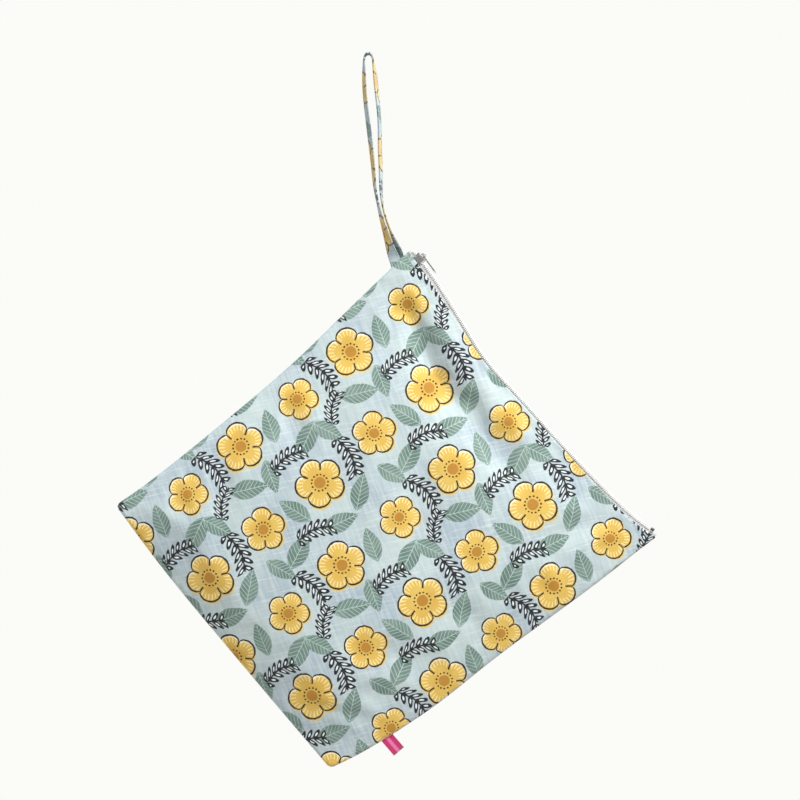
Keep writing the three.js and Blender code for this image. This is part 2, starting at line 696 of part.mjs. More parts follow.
// The strap: one flat band from the seam, over the top of the loop and back to the seam
function wristStrap() {
  const frontEnd = seamPoint(0, frontEndDown);
  const backEnd = seamPoint(0, backEndDown);
  const frontFoot = bagToWorld(frontEnd.x, frontEnd.z);
  const backFoot = bagToWorld(backEnd.x, backEnd.z);
  const drop = -(frontFoot.z + backFoot.z) / 2;
  const runX = (frontFoot.x + backFoot.x) / 2;
  const loopRadius = HANG_RADIUS + STRAP_THICKNESS / 2;

  const knots = [];
  const inward = bagToWorld(strapInward.x, strapInward.z).sub(bagToWorld(0, 0));
  const footKnots = (foot, side, turn) =>
    [1, 0.5, 0].map((share) => {
      const point = foot.clone().addScaledVector(inward, share * STRAP_SEWN_IN);
      point.y = (side * strapPitch) / 2;
      return { point, turn };
    });
  const legKnots = (leg) =>
    leg.map((row) => ({
      point: new THREE.Vector3(
        runX * row.at + row.aside * drop,
        (row.depth * strapPitch) / 2,
        -row.at * drop,
      ),
      turn: row.turn,
    }));
  knots.push(...footKnots(frontFoot, -1, 0));
  knots.push(...legKnots(FRONT_LEG).reverse());
  for (let step = 0; step <= LOOP_STEPS; step += 1) {
    const angle = Math.PI * (1 - step / LOOP_STEPS);
    const point = new THREE.Vector3(
      loopRadius * Math.cos(angle),
      0,
      loopRadius * Math.sin(angle) - HANG_RADIUS,
    );
    knots.push({ point, turn: 90 });
  }
  knots.push(...legKnots(BACK_LEG));
  knots.push(...footKnots(backFoot, 1, 180).reverse());

  const route = new THREE.CatmullRomCurve3(knots.map((knot) => knot.point), false, 'centripetal');
  const turns = new THREE.SplineCurve(knots.map((knot) => new THREE.Vector2(knot.turn, 0)));
  const half = STRAP_WIDTH / 2;
  const edge = STRAP_THICKNESS / 2;
  const section = [
    new THREE.Vector2(-half, 0),
    new THREE.Vector2(edge - half, -edge),
    new THREE.Vector2(half - edge, -edge),
    new THREE.Vector2(half, 0),
    new THREE.Vector2(half - edge, edge),
    new THREE.Vector2(edge - half, edge),
  ];
  const rings = [];
  const ringCount = (knots.length - 1) * STRAP_RINGS_PER_ROW;
  for (let ring = 0; ring <= ringCount; ring += 1) {
    const share = ring / ringCount;
    const centre = route.getPoint(share);
    const along = route.getTangent(share);
    const turn = THREE.MathUtils.degToRad(turns.getPoint(share).x);
    const outward = new THREE.Vector3(-along.z, 0, along.x).normalize();
    const face = outward.multiplyScalar(Math.sin(turn)).add(new THREE.Vector3(0, -Math.cos(turn), 0));
    face.addScaledVector(along, -face.dot(along)).normalize();
    const across = new THREE.Vector3().crossVectors(face, along);
    rings.push(
      section.map((corner) =>
        centre.clone().addScaledVector(across, corner.x).addScaledVector(face, corner.y),
      ),
    );
  }
  return loft(rings, section);
}

// Side label: a folded tab, a little thicker at its fold, standing out of the far side's seam
function sideLabel() {
  const place = seamPoint(1, labelDown);
  const half = LABEL_THICKNESS / 2;
  const profile = new THREE.Shape();
  profile.moveTo(-LABEL_SEWN_IN, -half);
  profile.lineTo(LABEL_LENGTH / 2, -half);
  profile.lineTo(LABEL_LENGTH - LABEL_FOLD_RADIUS, -LABEL_FOLD_RADIUS);
  profile.absarc(
    LABEL_LENGTH - LABEL_FOLD_RADIUS,
    0,
    LABEL_FOLD_RADIUS,
    -Math.PI / 2,
    Math.PI / 2,
    false,
  );
  profile.lineTo(LABEL_LENGTH / 2, half);
  profile.lineTo(-LABEL_SEWN_IN, half);
  const tab = new THREE.ExtrudeGeometry(profile, {
    depth: LABEL_WIDTH,
    bevelEnabled: false,
    curveSegments: LABEL_FOLD_FACES,
  });
  return tab.translate(place.x, 0, place.z - LABEL_WIDTH / 2);
}

const frontSide = {
  facing: -1,
  puff: FRONT_PUFF,
  column: 'front',
  folds: FRONT_FOLDS,
  cell: FRONT_CELL,
  rollAngles: [0, Math.PI / 6, Math.PI / 3, Math.PI / 2],
};
const backSide = {
  facing: 1,
  puff: BACK_PUFF,
  column: 'back',
  folds: BACK_FOLDS,
  cell: BACK_CELL,
  rollAngles: [0, Math.PI / 4, Math.PI / 2],
};

const bag = new THREE.Group();
bag.position.set(CORNER_ASIDE, 0, -CORNER_DROP);
bag.rotation.y = bagTurn;
bag.add(named('front_panel', clothPanel(frontSide), finishes.cloth));
bag.add(named('back_panel', clothPanel(backSide), finishes.clothBack));
bag.add(named('zip_tape_front', zipTape(-1), finishes.tape));
bag.add(named('zip_tape_back', zipTape(1), finishes.tape));
bag.add(named('zip_coil', zipCoil(), finishes.coil));
bag.add(named('side_label', sideLabel(), finishes.label));

const stopPlace = onZip(MOUTH_WIDTH - STOP_FROM_END - STOP_LENGTH / 2);
stopPlace.add(named('zip_end_stop', endStop(), finishes.stop));
bag.add(stopPlace);

const sliderPlace = onZip(SLIDER_FROM_CORNER);
sliderPlace.add(named('zip_slider', zipSlider(), finishes.slider));
const hinge = new THREE.Group();
hinge.position.z = hingeHeight;
hinge.rotation.y = THREE.MathUtils.degToRad(TAB_DROOP);
hinge.add(named('zip_pull', pullTab(), finishes.slider));
sliderPlace.add(hinge);
bag.add(sliderPlace);

const toiletryBag = new THREE.Group();
toiletryBag.add(bag);
toiletryBag.add(named('wrist_strap', wristStrap(), finishes.strap));

export default toiletryBag;
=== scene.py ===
import math

import bpy
import numpy as np
from mathutils import Matrix, Vector, noise


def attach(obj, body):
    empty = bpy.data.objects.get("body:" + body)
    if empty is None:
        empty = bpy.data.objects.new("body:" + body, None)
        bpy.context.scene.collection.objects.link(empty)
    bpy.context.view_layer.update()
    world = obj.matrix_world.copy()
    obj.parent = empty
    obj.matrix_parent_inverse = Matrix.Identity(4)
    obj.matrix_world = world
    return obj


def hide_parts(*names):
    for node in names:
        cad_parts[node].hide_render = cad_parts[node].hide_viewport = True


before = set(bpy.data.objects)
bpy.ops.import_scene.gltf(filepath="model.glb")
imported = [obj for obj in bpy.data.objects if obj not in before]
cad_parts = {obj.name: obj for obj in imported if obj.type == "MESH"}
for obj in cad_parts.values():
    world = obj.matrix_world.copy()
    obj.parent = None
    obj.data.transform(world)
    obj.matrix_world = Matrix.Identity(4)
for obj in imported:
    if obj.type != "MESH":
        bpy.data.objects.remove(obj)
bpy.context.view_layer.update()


# Front and back cloth. Each is one piece of printed cotton canvas with a soft backing, cut nearly
# square, sewn to the other along three sides and turned right side out, so its edges roll in to the
# seam. The bag is empty and hangs by one corner, so the cloth is slack between its seams.

BAG_TURN = math.radians(49.1)
BAG_CORNER = Vector((0.0316, 0.0, -0.157))
CLOTH_WALL = 0.0012

bag_to_world = Matrix.Translation(BAG_CORNER) @ Matrix.Rotation(BAG_TURN, 4, "Y")
world_to_bag = bag_to_world.inverted()

# Soft folds on top of the solid's own. x and z run in the bag's frame, from the strap's corner, in
# mm: x along the zip and z out of the mouth. width is a fold's half-width and rise its height.
FRONT_FOLDS = [
    {"from_x": 8, "from_z": -22, "to_x": 62, "to_z": -52, "width": 6, "rise": 1.1},
    {"from_x": 8, "from_z": -26, "to_x": 48, "to_z": -78, "width": 6, "rise": 1.0},
    {"from_x": 6, "from_z": -30, "to_x": 30, "to_z": -104, "width": 6, "rise": 0.9},
    {"from_x": 12, "from_z": -15, "to_x": 186, "to_z": -26, "width": 9, "rise": 4.8},
    {"from_x": 18, "from_z": -32, "to_x": 112, "to_z": -50, "width": 9, "rise": -6.4},
    {"from_x": 76, "from_z": -46, "to_x": 196, "to_z": -52, "width": 10, "rise": -6.4},
    {"from_x": 118, "from_z": -84, "to_x": 182, "to_z": -146, "width": 12, "rise": -3.4},
    {"from_x": 60, "from_z": -98, "to_x": 136, "to_z": -150, "width": 14, "rise": 2.2},
    {"from_x": 232, "from_z": -150, "to_x": 244, "to_z": -166, "width": 10, "rise": -1.8},
    {"from_x": 262, "from_z": -24, "to_x": 236, "to_z": -70, "width": 9, "rise": -1.4},
    {"from_x": 196, "from_z": -242, "to_x": 258, "to_z": -200, "width": 15, "rise": -1.9},
    {"from_x": 40, "from_z": -236, "to_x": 96, "to_z": -262, "width": 12, "rise": -1.2},
    {"from_x": 22, "from_z": -150, "to_x": 44, "to_z": -228, "width": 13, "rise": 1.1},
]
BACK_FOLDS = [
    {"from_x": 18, "from_z": -34, "to_x": 112, "to_z": -52, "width": 15, "rise": 3.4},
    {"from_x": 14, "from_z": -24, "to_x": 80, "to_z": -66, "width": 9, "rise": 1.0},
    {"from_x": 10, "from_z": -34, "to_x": 40, "to_z": -110, "width": 9, "rise": 0.9},
    {"from_x": 190, "from_z": -60, "to_x": 250, "to_z": -96, "width": 14, "rise": -1.2},
    {"from_x": 80, "from_z": -220, "to_x": 150, "to_z": -238, "width": 14, "rise": -1.0},
]

# The folds fade out over this distance towards the seam. This share of a fold's run is its blunt end.
FOLD_FADE = 0.02
FOLD_END_SHARE = 0.04

# The seam's puckers: their spacing, their height, how far in they reach, and how soon they start
PUCKER_SPACING = 0.0085
PUCKER_RISE = 0.0011
PUCKER_REACH = 0.007
PUCKER_EASE = 0.002

# The cloth's slack between its seams: shallow waves, their spacing, their height, and how far in
# they are in full. The front and the back take them from two places in the same noise.
SLACK_SPACING = 0.038
SLACK_RISE = 0.0006
SLACK_EASE = 0.03
SLACK_PLACE = 3.1

# How far the settled cloth may move, how far in its seam holds it still, how that hold eases off,
# and for how many steps it settles
SETTLE_LIMIT = 0.0035
SEAM_HELD = 0.005
SEAM_EASE = 0.02
SETTLE_STEPS = 20

# A face of the solid is on its outer side when its normal turns outwards at least this much
OUTWARD_LEAST = 0.02


def only(piece):
    """Selects one piece and nothing else, and makes it the active one."""
    bpy.ops.object.select_all(action="DESELECT")
    piece.select_set(True)
    bpy.context.view_layer.objects.active = piece


def merged_copy(node_name, piece_name):
    """A new piece with a node's own shape, its loose triangles merged."""
    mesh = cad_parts[node_name].data.copy()
    mesh.materials.clear()
    piece = bpy.data.objects.new(piece_name, mesh)
    bpy.context.scene.collection.objects.link(piece)
    only(piece)
    bpy.ops.object.mode_set(mode="EDIT")
    bpy.ops.mesh.select_all(action="SELECT")
    bpy.ops.mesh.remove_doubles(threshold=1e-6)
    bpy.ops.mesh.customdata_custom_splitnormals_clear()
    bpy.ops.object.mode_set(mode="OBJECT")
    return piece


def apply_modifiers(piece):
    """Makes a piece's modifiers part of its mesh, in their order."""
    only(piece)
    for modifier in list(piece.modifiers):
        bpy.ops.object.modifier_apply(modifier=modifier.name)


def outer_sheet(node_name, piece_name, facing):
    """The outer face of a cloth panel as one open sheet of quads."""
    piece = merged_copy(node_name, piece_name)
    only(piece)
    bpy.ops.object.mode_set(mode="EDIT")
    bpy.ops.mesh.select_mode(type="FACE")
    bpy.ops.mesh.select_all(action="DESELECT")
    bpy.ops.object.mode_set(mode="OBJECT")
    for face in piece.data.polygons:
        face.select = face.normal.y * facing < OUTWARD_LEAST
    bpy.ops.object.mode_set(mode="EDIT")
    bpy.ops.mesh.delete(type="FACE")
    bpy.ops.mesh.select_all(action="SELECT")
    bpy.ops.mesh.tris_convert_to_quads(face_threshold=math.pi, shape_threshold=math.pi)
    bpy.ops.object.mode_set(mode="OBJECT")
    return piece


def read_points(mesh):
    """A mesh's vertices as one row each of x, y and z."""
    points = np.empty(len(mesh.vertices) * 3)
    mesh.vertices.foreach_get("co", points)
    return points.reshape(-1, 3)


def write_points(mesh, points):
    """Moves a mesh's vertices to the rows' places."""
    mesh.vertices.foreach_set("co", points.astype(np.float32).ravel())
    mesh.update()


def edge_distance(mesh):
    """How far each vertex is from the sheet's open edge."""
    uses = {}
    for face in mesh.polygons:
        for key in face.edge_keys:
            uses[key] = uses.get(key, 0) + 1
    rim = sorted({index for key, count in uses.items() if count == 1 for index in key})
    points = read_points(mesh)[:, [0, 2]]
    rim_points = points[rim]
    distance = np.empty(len(points))
    batch = 400
    for start in range(0, len(points), batch):
        part = points[start:start + batch]
        distance[start:start + batch] = np.sqrt(
            ((part[:, None, :] - rim_points[None, :, :]) ** 2).sum(2)
        ).min(1)
    return distance


def bag_places(mesh):
    """Each vertex in the bag's own frame."""
    points = read_points(mesh)
    turn = np.array(world_to_bag)
    return points @ turn[:3, :3].T + turn[:3, 3]


def fold_rise(places, folds):
    """How far the folds lift each place, in metres."""
    flat = places[:, [0, 2]] * 1000
    total = np.zeros(len(flat))
    for fold in folds:
        start = np.array([fold["from_x"], fold["from_z"]], float)
        run = np.array([fold["to_x"], fold["to_z"]], float) - start
        share = np.clip(((flat - start) @ run) / (run @ run), 0, 1)
        away = np.linalg.norm(flat - start - share[:, None] * run, axis=1)
        between_ends = np.clip(share, FOLD_END_SHARE, 1 - FOLD_END_SHARE)
        swell = np.sqrt(np.sin(np.pi * between_ends))
        total += fold["rise"] * swell * np.exp(-((away / fold["width"]) ** 2))
    return total / 1000


def settle(piece, distance):
    """Lets the cloth buckle a little between its seams, which are held."""
    before = read_points(piece.data)
    seam = piece.vertex_groups.new(name="seam")
    for index, away in enumerate(distance):
        held = 1.0 - min(max((away - SEAM_HELD) / SEAM_EASE, 0.0), 1.0)
        seam.add([index], held, "REPLACE")
    cloth = piece.modifiers.new("settle", "CLOTH")
    cloth.settings.quality = 6
    cloth.settings.mass = 0.3
    cloth.settings.tension_stiffness = 25
    cloth.settings.compression_stiffness = 25
    cloth.settings.bending_stiffness = 1.2
    cloth.settings.shrink_min = -0.012
    cloth.settings.vertex_group_mass = "seam"
    cloth.settings.effector_weights.gravity = 0
    cloth.settings.use_pressure = True
    cloth.settings.uniform_pressure_force = 0.4
    cloth.collision_settings.use_collision = False
    scene = bpy.context.scene
    for step in range(1, SETTLE_STEPS + 1):
        scene.frame_set(step)
    settled = piece.evaluated_get(bpy.context.evaluated_depsgraph_get())
    after = read_points(settled.data)
    piece.modifiers.remove(cloth)
    scene.frame_set(1)
    move = after - before
    length = np.linalg.norm(move, axis=1)
    share = np.minimum(1, SETTLE_LIMIT / np.maximum(length, 1e-9))
    write_points(piece.data, before + move * share[:, None])


def make_finer(piece):
    """Splits every face in four, which also rounds the sheet."""
    split = piece.modifiers.new("finer", "SUBSURF")
    split.levels = 1
    split.render_levels = 1
    apply_modifiers(piece)


def printed_panel(node_name, piece_name, facing, folds):
    """One panel of the bag: folded, settled, puckered along its seams and given its wall."""
    piece = outer_sheet(node_name, piece_name, facing)
    make_finer(piece)

    # The print follows the cloth as it was cut, flat, so its map is made before the folds
    cut = bag_places(piece.data)
    print_map = piece.data.uv_layers.new(name="cut_in_metres")
    for face in piece.data.polygons:
        for loop in face.loop_indices:
            place = cut[piece.data.loops[loop].vertex_index]
            across = place[0] if facing < 0 else -place[0]
            print_map.data[loop].uv = (across, place[2])

    distance = edge_distance(piece.data)
    lift = fold_rise(cut, folds) * np.clip(distance / FOLD_FADE, 0, 1)
    points = read_points(piece.data)
    points[:, 1] += facing * lift
    write_points(piece.data, points)
    settle(piece, distance)
    make_finer(piece)

    distance = edge_distance(piece.data)
    places = bag_places(piece.data)
    points = read_points(piece.data)
    for index, (place, away) in enumerate(zip(places, distance)):
        near = Vector((place[0] / PUCKER_SPACING, 0, place[2] / PUCKER_SPACING))
        ripple = noise.noise(near) * math.exp(-away / PUCKER_REACH) * min(away / PUCKER_EASE, 1)
        wide = Vector((place[0] / SLACK_SPACING, facing * SLACK_PLACE, place[2] / SLACK_SPACING))
        slack = noise.noise(wide) * min(away / SLACK_EASE, 1)
        points[index, 1] += facing * (PUCKER_RISE * ripple + SLACK_RISE * slack)
    write_points(piece.data, points)

    wall = piece.modifiers.new("wall", "SOLIDIFY")
    wall.thickness = CLOTH_WALL
    wall.offset = -1
    wall.use_even_offset = False
    apply_modifiers(piece)
    only(piece)
    bpy.ops.object.shade_smooth()
    return piece


def linear(code):
    """An sRGB hex colour as a linear one."""
    channels = [int(code[start:start + 2], 16) / 255 for start in (1, 3, 5)]
    turned = [c / 12.92 if c <= 0.04045 else ((c + 0.055) / 1.055) ** 2.4 for c in channels]
    return (*turned, 1.0)


def add(tree, kind, settings=None, inputs=None):
    """Adds a node with its settings. An input is a value, or another node's output."""
    node = tree.nodes.new(kind)
    for name, value in (settings or {}).items():
        setattr(node, name, value)
    for name, value in (inputs or {}).items():
        if isinstance(value, bpy.types.NodeSocket):
            tree.links.new(value, node.inputs[name])
        else:
            node.inputs[name].default_value = value
    return node


def new_material(name):
    """A material with no nodes yet, and its node tree."""
    material = bpy.data.materials.new(name)
    material.use_nodes = True
    material.node_tree.nodes.clear()
    return material, material.node_tree


def new_motif(name, outputs):
    """A node group that draws one printed motif round its own middle, in mm."""
    tree = bpy.data.node_groups.new(name, "ShaderNodeTree")
    tree.interface.new_socket("place", in_out="INPUT", socket_type="NodeSocketVector")
    for output in outputs:
        tree.interface.new_socket(output, in_out="OUTPUT", socket_type="NodeSocketFloat")
    place = add(tree, "NodeGroupInput").outputs["place"]
    parts = add(tree, "ShaderNodeSeparateXYZ", inputs={0: place})
    return tree, place, parts.outputs["X"], parts.outputs["Y"]


# The blossom: five round petals with a thin drawn outline. Their yellow lies a little to one side of
# the outline, so a pale rim is left bare inside it. Pale strokes and a dotted heart are on top.
# Sizes are in mm.
BLOSSOM_RADIUS = 19.0
NOTCH_RADIUS = 0.7 * BLOSSOM_RADIUS
PETALS = 5
PETAL_ROUNDNESS = 0.55
PAINT_SHIFT = (1.5, -1.3, 0.0)
DOT_RING_RADIUS = 0.33 * BLOSSOM_RADIUS
DOTS = 14
HEART_RADIUS = 0.22 * BLOSSOM_RADIUS
STROKES_PER_PETAL = 7
STROKE_FROM_EDGE = 3.6
STROKE_HALF_LENGTH = 1.9

# A drawn line's half-width, and the distance over which a printed edge is soft
LINE_HALF = 0.6
INK_EDGE = 0.3

# The petals' shape. A wave round the middle gives their lobes, and its roundness makes them full.
# outside is how far a place is past their outline, and is negative within it.
petals, place, x, y = new_motif("five petals", ["outside", "edge", "lobe", "angle", "radius"])
radius = add(petals, "ShaderNodeVectorMath", {"operation": "LENGTH"}, {0: place}).outputs["Value"]
angle = add(petals, "ShaderNodeMath", {"operation": "ARCTAN2"}, {0: y, 1: x}).outputs[0]
half_turns = add(petals, "ShaderNodeMath", {"operation": "MULTIPLY"}, {0: angle, 1: PETALS / 2}).outputs[0]
wave = add(petals, "ShaderNodeMath", {"operation": "COSINE"}, {0: half_turns}).outputs[0]
lobe = add(petals, "ShaderNodeMath", {"operation": "ABSOLUTE"}, {0: wave}).outputs[0]
round_lobe = add(petals, "ShaderNodeMath", {"operation": "POWER"}, {
    0: lobe, 1: PETAL_ROUNDNESS,
}).outputs[0]
edge = add(petals, "ShaderNodeMapRange", {"clamp": False}, {
    "Value": round_lobe, "To Min": NOTCH_RADIUS, "To Max": BLOSSOM_RADIUS,
}).outputs[0]
outside = add(petals, "ShaderNodeMath", {"operation": "SUBTRACT"}, {0: radius, 1: edge}).outputs[0]
add(petals, "NodeGroupOutput", inputs={
    "outside": outside, "edge": edge, "lobe": lobe, "angle": angle, "radius": radius,
})

# What is printed with that shape
blossom, place, _, _ = new_motif(
    "printed blossom", ["petal", "paint", "brushed", "heart", "line", "stroke", "depth"]
)
drawn_petals = add(blossom, "ShaderNodeGroup", {"node_tree": petals}, {"place": place}).outputs
outside, edge, lobe = drawn_petals["outside"], drawn_petals["edge"], drawn_petals["lobe"]
angle, radius = drawn_petals["angle"], drawn_petals["radius"]
petal = add(blossom, "ShaderNodeMapRange", inputs={
    "Value": outside, "From Min": -INK_EDGE, "From Max": INK_EDGE, "To Min": 1.0, "To Max": 0.0,
}).outputs[0]
painted_at = add(blossom, "ShaderNodeVectorMath", {"operation": "SUBTRACT"}, {
    0: place, 1: PAINT_SHIFT,
}).outputs[0]
painted = add(blossom, "ShaderNodeGroup", {"node_tree": petals}, {"place": painted_at}).outputs["outside"]
paint = add(blossom, "ShaderNodeMapRange", inputs={
    "Value": painted, "From Min": -0.5, "From Max": INK_EDGE, "To Min": 1.0, "To Max": 0.0,
}).outputs[0]
brushed = add(blossom, "ShaderNodeMapRange", inputs={
    "Value": painted, "From Min": 0.0, "From Max": 1.5, "To Min": 1.0, "To Max": 0.0,
}).outputs[0]
# The line between two petals runs in from their notch and stops short of the dots
rim = add(blossom, "ShaderNodeMath", {"operation": "ABSOLUTE"}, {0: outside}).outputs[0]
from_notch = add(blossom, "ShaderNodeMath", {"operation": "MULTIPLY"}, {0: lobe, 1: radius}).outputs[0]
from_notch = add(blossom, "ShaderNodeMath", {"operation": "MULTIPLY"}, {
    0: from_notch, 1: 2 / PETALS,
}).outputs[0]
inner_end = add(blossom, "ShaderNodeMapRange", inputs={
    "Value": radius, "From Min": 0.42 * BLOSSOM_RADIUS, "From Max": 0.5 * BLOSSOM_RADIUS,
    "To Min": 3.0, "To Max": 0.0,
}).outputs[0]
split = add(blossom, "ShaderNodeMath", {"operation": "ADD"}, {0: from_notch, 1: inner_end}).outputs[0]
split = add(blossom, "ShaderNodeMath", {"operation": "ADD"}, {0: split, 1: 0.1}).outputs[0]
too_far = add(blossom, "ShaderNodeMath", {"operation": "MAXIMUM"}, {0: split, 1: outside}).outputs[0]
drawn = add(blossom, "ShaderNodeMath", {"operation": "MINIMUM"}, {0: rim, 1: too_far}).outputs[0]
# Near a dot of the ring, the wave is about as large as the way to it in mm
ring_gap = add(blossom, "ShaderNodeMath", {"operation": "SUBTRACT"}, {
    0: radius, 1: DOT_RING_RADIUS,
}).outputs[0]
ring_gap = add(blossom, "ShaderNodeMath", {"operation": "ABSOLUTE"}, {0: ring_gap}).outputs[0]
dot_turns = add(blossom, "ShaderNodeMath", {"operation": "MULTIPLY"}, {0: angle, 1: DOTS / 2}).outputs[0]
dot_wave = add(blossom, "ShaderNodeMath", {"operation": "SINE"}, {0: dot_turns}).outputs[0]
dot_place = add(blossom, "ShaderNodeCombineXYZ", inputs={"X": ring_gap, "Y": dot_wave}).outputs[0]
dot_away = add(blossom, "ShaderNodeVectorMath", {"operation": "LENGTH"}, {0: dot_place}).outputs["Value"]
drawn = add(blossom, "ShaderNodeMath", {"operation": "MINIMUM"}, {0: drawn, 1: dot_away}).outputs[0]
line = add(blossom, "ShaderNodeMapRange", inputs={
    "Value": drawn, "From Min": LINE_HALF, "From Max": LINE_HALF + INK_EDGE,
    "To Min": 1.0, "To Max": 0.0,
}).outputs[0]
heart = add(blossom, "ShaderNodeMapRange", inputs={
    "Value": radius, "From Min": HEART_RADIUS, "From Max": HEART_RADIUS + INK_EDGE,
    "To Min": 1.0, "To Max": 0.0,
}).outputs[0]
# The strokes fan out from the middle and keep a little inside the outline
fan_turns = add(blossom, "ShaderNodeMath", {"operation": "MULTIPLY"}, {
    0: angle, 1: PETALS * STROKES_PER_PETAL / 2,
}).outputs[0]
fan_wave = add(blossom, "ShaderNodeMath", {"operation": "COSINE"}, {0: fan_turns}).outputs[0]
fan_away = add(blossom, "ShaderNodeMath", {"operation": "ABSOLUTE"}, {0: fan_wave}).outputs[0]
fan_away = add(blossom, "ShaderNodeMath", {"operation": "MULTIPLY"}, {0: fan_away, 1: 0.9}).outputs[0]
stroke_out = add(blossom, "ShaderNodeMath", {"operation": "SUBTRACT"}, {0: edge, 1: radius}).outputs[0]
stroke_out = add(blossom, "ShaderNodeMath", {"operation": "SUBTRACT"}, {
    0: stroke_out, 1: STROKE_FROM_EDGE,
}).outputs[0]
stroke_out = add(blossom, "ShaderNodeMath", {"operation": "ABSOLUTE"}, {0: stroke_out}).outputs[0]
stroke_out = add(blossom, "ShaderNodeMath", {"operation": "SUBTRACT"}, {
    0: stroke_out, 1: STROKE_HALF_LENGTH,
}).outputs[0]
stroke_away = add(blossom, "ShaderNodeMath", {"operation": "MAXIMUM"}, {
    0: fan_away, 1: stroke_out,
}).outputs[0]
stroke = add(blossom, "ShaderNodeMapRange", inputs={
    "Value": stroke_away, "From Min": 0.22, "From Max": 0.5, "To Min": 1.0, "To Max": 0.0,
}).outputs[0]
# The yellow is deeper towards the heart
depth = add(blossom, "ShaderNodeMapRange", inputs={
    "Value": radius, "From Min": 0.2 * BLOSSOM_RADIUS, "From Max": 0.95 * BLOSSOM_RADIUS,
    "To Min": 1.0, "To Max": 0.0,
}).outputs[0]
add(blossom, "NodeGroupOutput", inputs={
    "petal": petal, "paint": paint, "brushed": brushed,
    "heart": heart, "line": line, "stroke": stroke, "depth": depth,
})

# The leaf: a pointed oval, fuller towards its stalk, with a pale middle rib and slanting side veins
LEAF_HALF_LENGTH = 17.5
LEAF_HALF_WIDTH = 8.2
LEAF_LEAN = 0.28
VEIN_SPACING = 4.0
VEIN_SLANT = 0.9
VEIN_HALF = 0.16
VEIN_EDGE = 0.26

leaf, _, x, y = new_motif("printed leaf", ["blade", "vein"])
share = add(leaf, "ShaderNodeMath", {"operation": "DIVIDE"}, {0: x, 1: LEAF_HALF_LENGTH}).outputs[0]
square = add(leaf, "ShaderNodeMath", {"operation": "MULTIPLY"}, {0: share, 1: share}).outputs[0]
taper = add(leaf, "ShaderNodeMath", {"operation": "SUBTRACT"}, {0: 1.0, 1: square}).outputs[0]
lean = add(leaf, "ShaderNodeMath", {"operation": "MULTIPLY_ADD"}, {
    0: share, 1: -LEAF_LEAN, 2: 1.0,
}).outputs[0]
half = add(leaf, "ShaderNodeMath", {"operation": "MULTIPLY"}, {0: taper, 1: lean}).outputs[0]
half = add(leaf, "ShaderNodeMath", {"operation": "MULTIPLY"}, {0: half, 1: LEAF_HALF_WIDTH}).outputs[0]
side = add(leaf, "ShaderNodeMath", {"operation": "ABSOLUTE"}, {0: y}).outputs[0]
outside = add(leaf, "ShaderNodeMath", {"operation": "SUBTRACT"}, {0: side, 1: half}).outputs[0]
length = add(leaf, "ShaderNodeMath", {"operation": "ABSOLUTE"}, {0: x}).outputs[0]
past_end = add(leaf, "ShaderNodeMath", {"operation": "SUBTRACT"}, {
    0: length, 1: LEAF_HALF_LENGTH,
}).outputs[0]
outside = add(leaf, "ShaderNodeMath", {"operation": "MAXIMUM"}, {0: outside, 1: past_end}).outputs[0]
blade = add(leaf, "ShaderNodeMapRange", inputs={
    "Value": outside, "From Min": -INK_EDGE, "From Max": INK_EDGE, "To Min": 1.0, "To Max": 0.0,
}).outputs[0]
along = add(leaf, "ShaderNodeMath", {"operation": "MULTIPLY_ADD"}, {
    0: side, 1: -VEIN_SLANT, 2: x,
}).outputs[0]
vein_place = add(leaf, "ShaderNodeMath", {"operation": "PINGPONG"}, {
    0: along, 1: VEIN_SPACING / 2,
}).outputs[0]
vein_away = add(leaf, "ShaderNodeMath", {"operation": "MINIMUM"}, {0: vein_place, 1: side}).outputs[0]
vein = add(leaf, "ShaderNodeMapRange", inputs={
    "Value": vein_away, "From Min": VEIN_HALF, "From Max": VEIN_HALF + VEIN_EDGE,
    "To Min": 1.0, "To Max": 0.0,
}).outputs[0]
vein = add(leaf, "ShaderNodeMath", {"operation": "MULTIPLY"}, {0: vein, 1: blade}).outputs[0]
add(leaf, "NodeGroupOutput", inputs={"blade": blade, "vein": vein})

# The sprig: a thin curved stem with small drawn buds in pairs, white inside. The stem's turn is in
# radians for each mm.
SPRIG_HALF_LENGTH = 16.0
STEM_RISE = 2.6
STEM_TURN = 0.13
BUD_SPACING = 6.4
BUD_SLANT = 0.75
BUD_FROM_STEM = 3.5
BUD_RADIUS = 1.65
BUD_NARROWING = 0.5
BUD_PAST_STEM = 1.0

sprig, _, x, y = new_motif("printed sprig", ["line", "bud"])
# The stem bends in one shallow arc, and side is the way to it
bend = add(sprig, "ShaderNodeMath", {"operation": "MULTIPLY"}, {0: x, 1: STEM_TURN}).outputs[0]
bend = add(sprig, "ShaderNodeMath", {"operation": "COSINE"}, {0: bend}).outputs[0]
off_stem = add(sprig, "ShaderNodeMath", {"operation": "MULTIPLY_ADD"}, {
    0: bend, 1: -STEM_RISE, 2: y,
}).outputs[0]
off_stem = add(sprig, "ShaderNodeMath", {"operation": "ADD"}, {
    0: off_stem, 1: STEM_RISE / 2,
}).outputs[0]
side = add(sprig, "ShaderNodeMath", {"operation": "ABSOLUTE"}, {0: off_stem}).outputs[0]
length = add(sprig, "ShaderNodeMath", {"operation": "ABSOLUTE"}, {0: x}).outputs[0]
past_end = add(sprig, "ShaderNodeMath", {"operation": "SUBTRACT"}, {
    0: length, 1: SPRIG_HALF_LENGTH,
}).outputs[0]
stem = add(sprig, "ShaderNodeMath", {"operation": "MAXIMUM"}, {0: side, 1: past_end}).outputs[0]
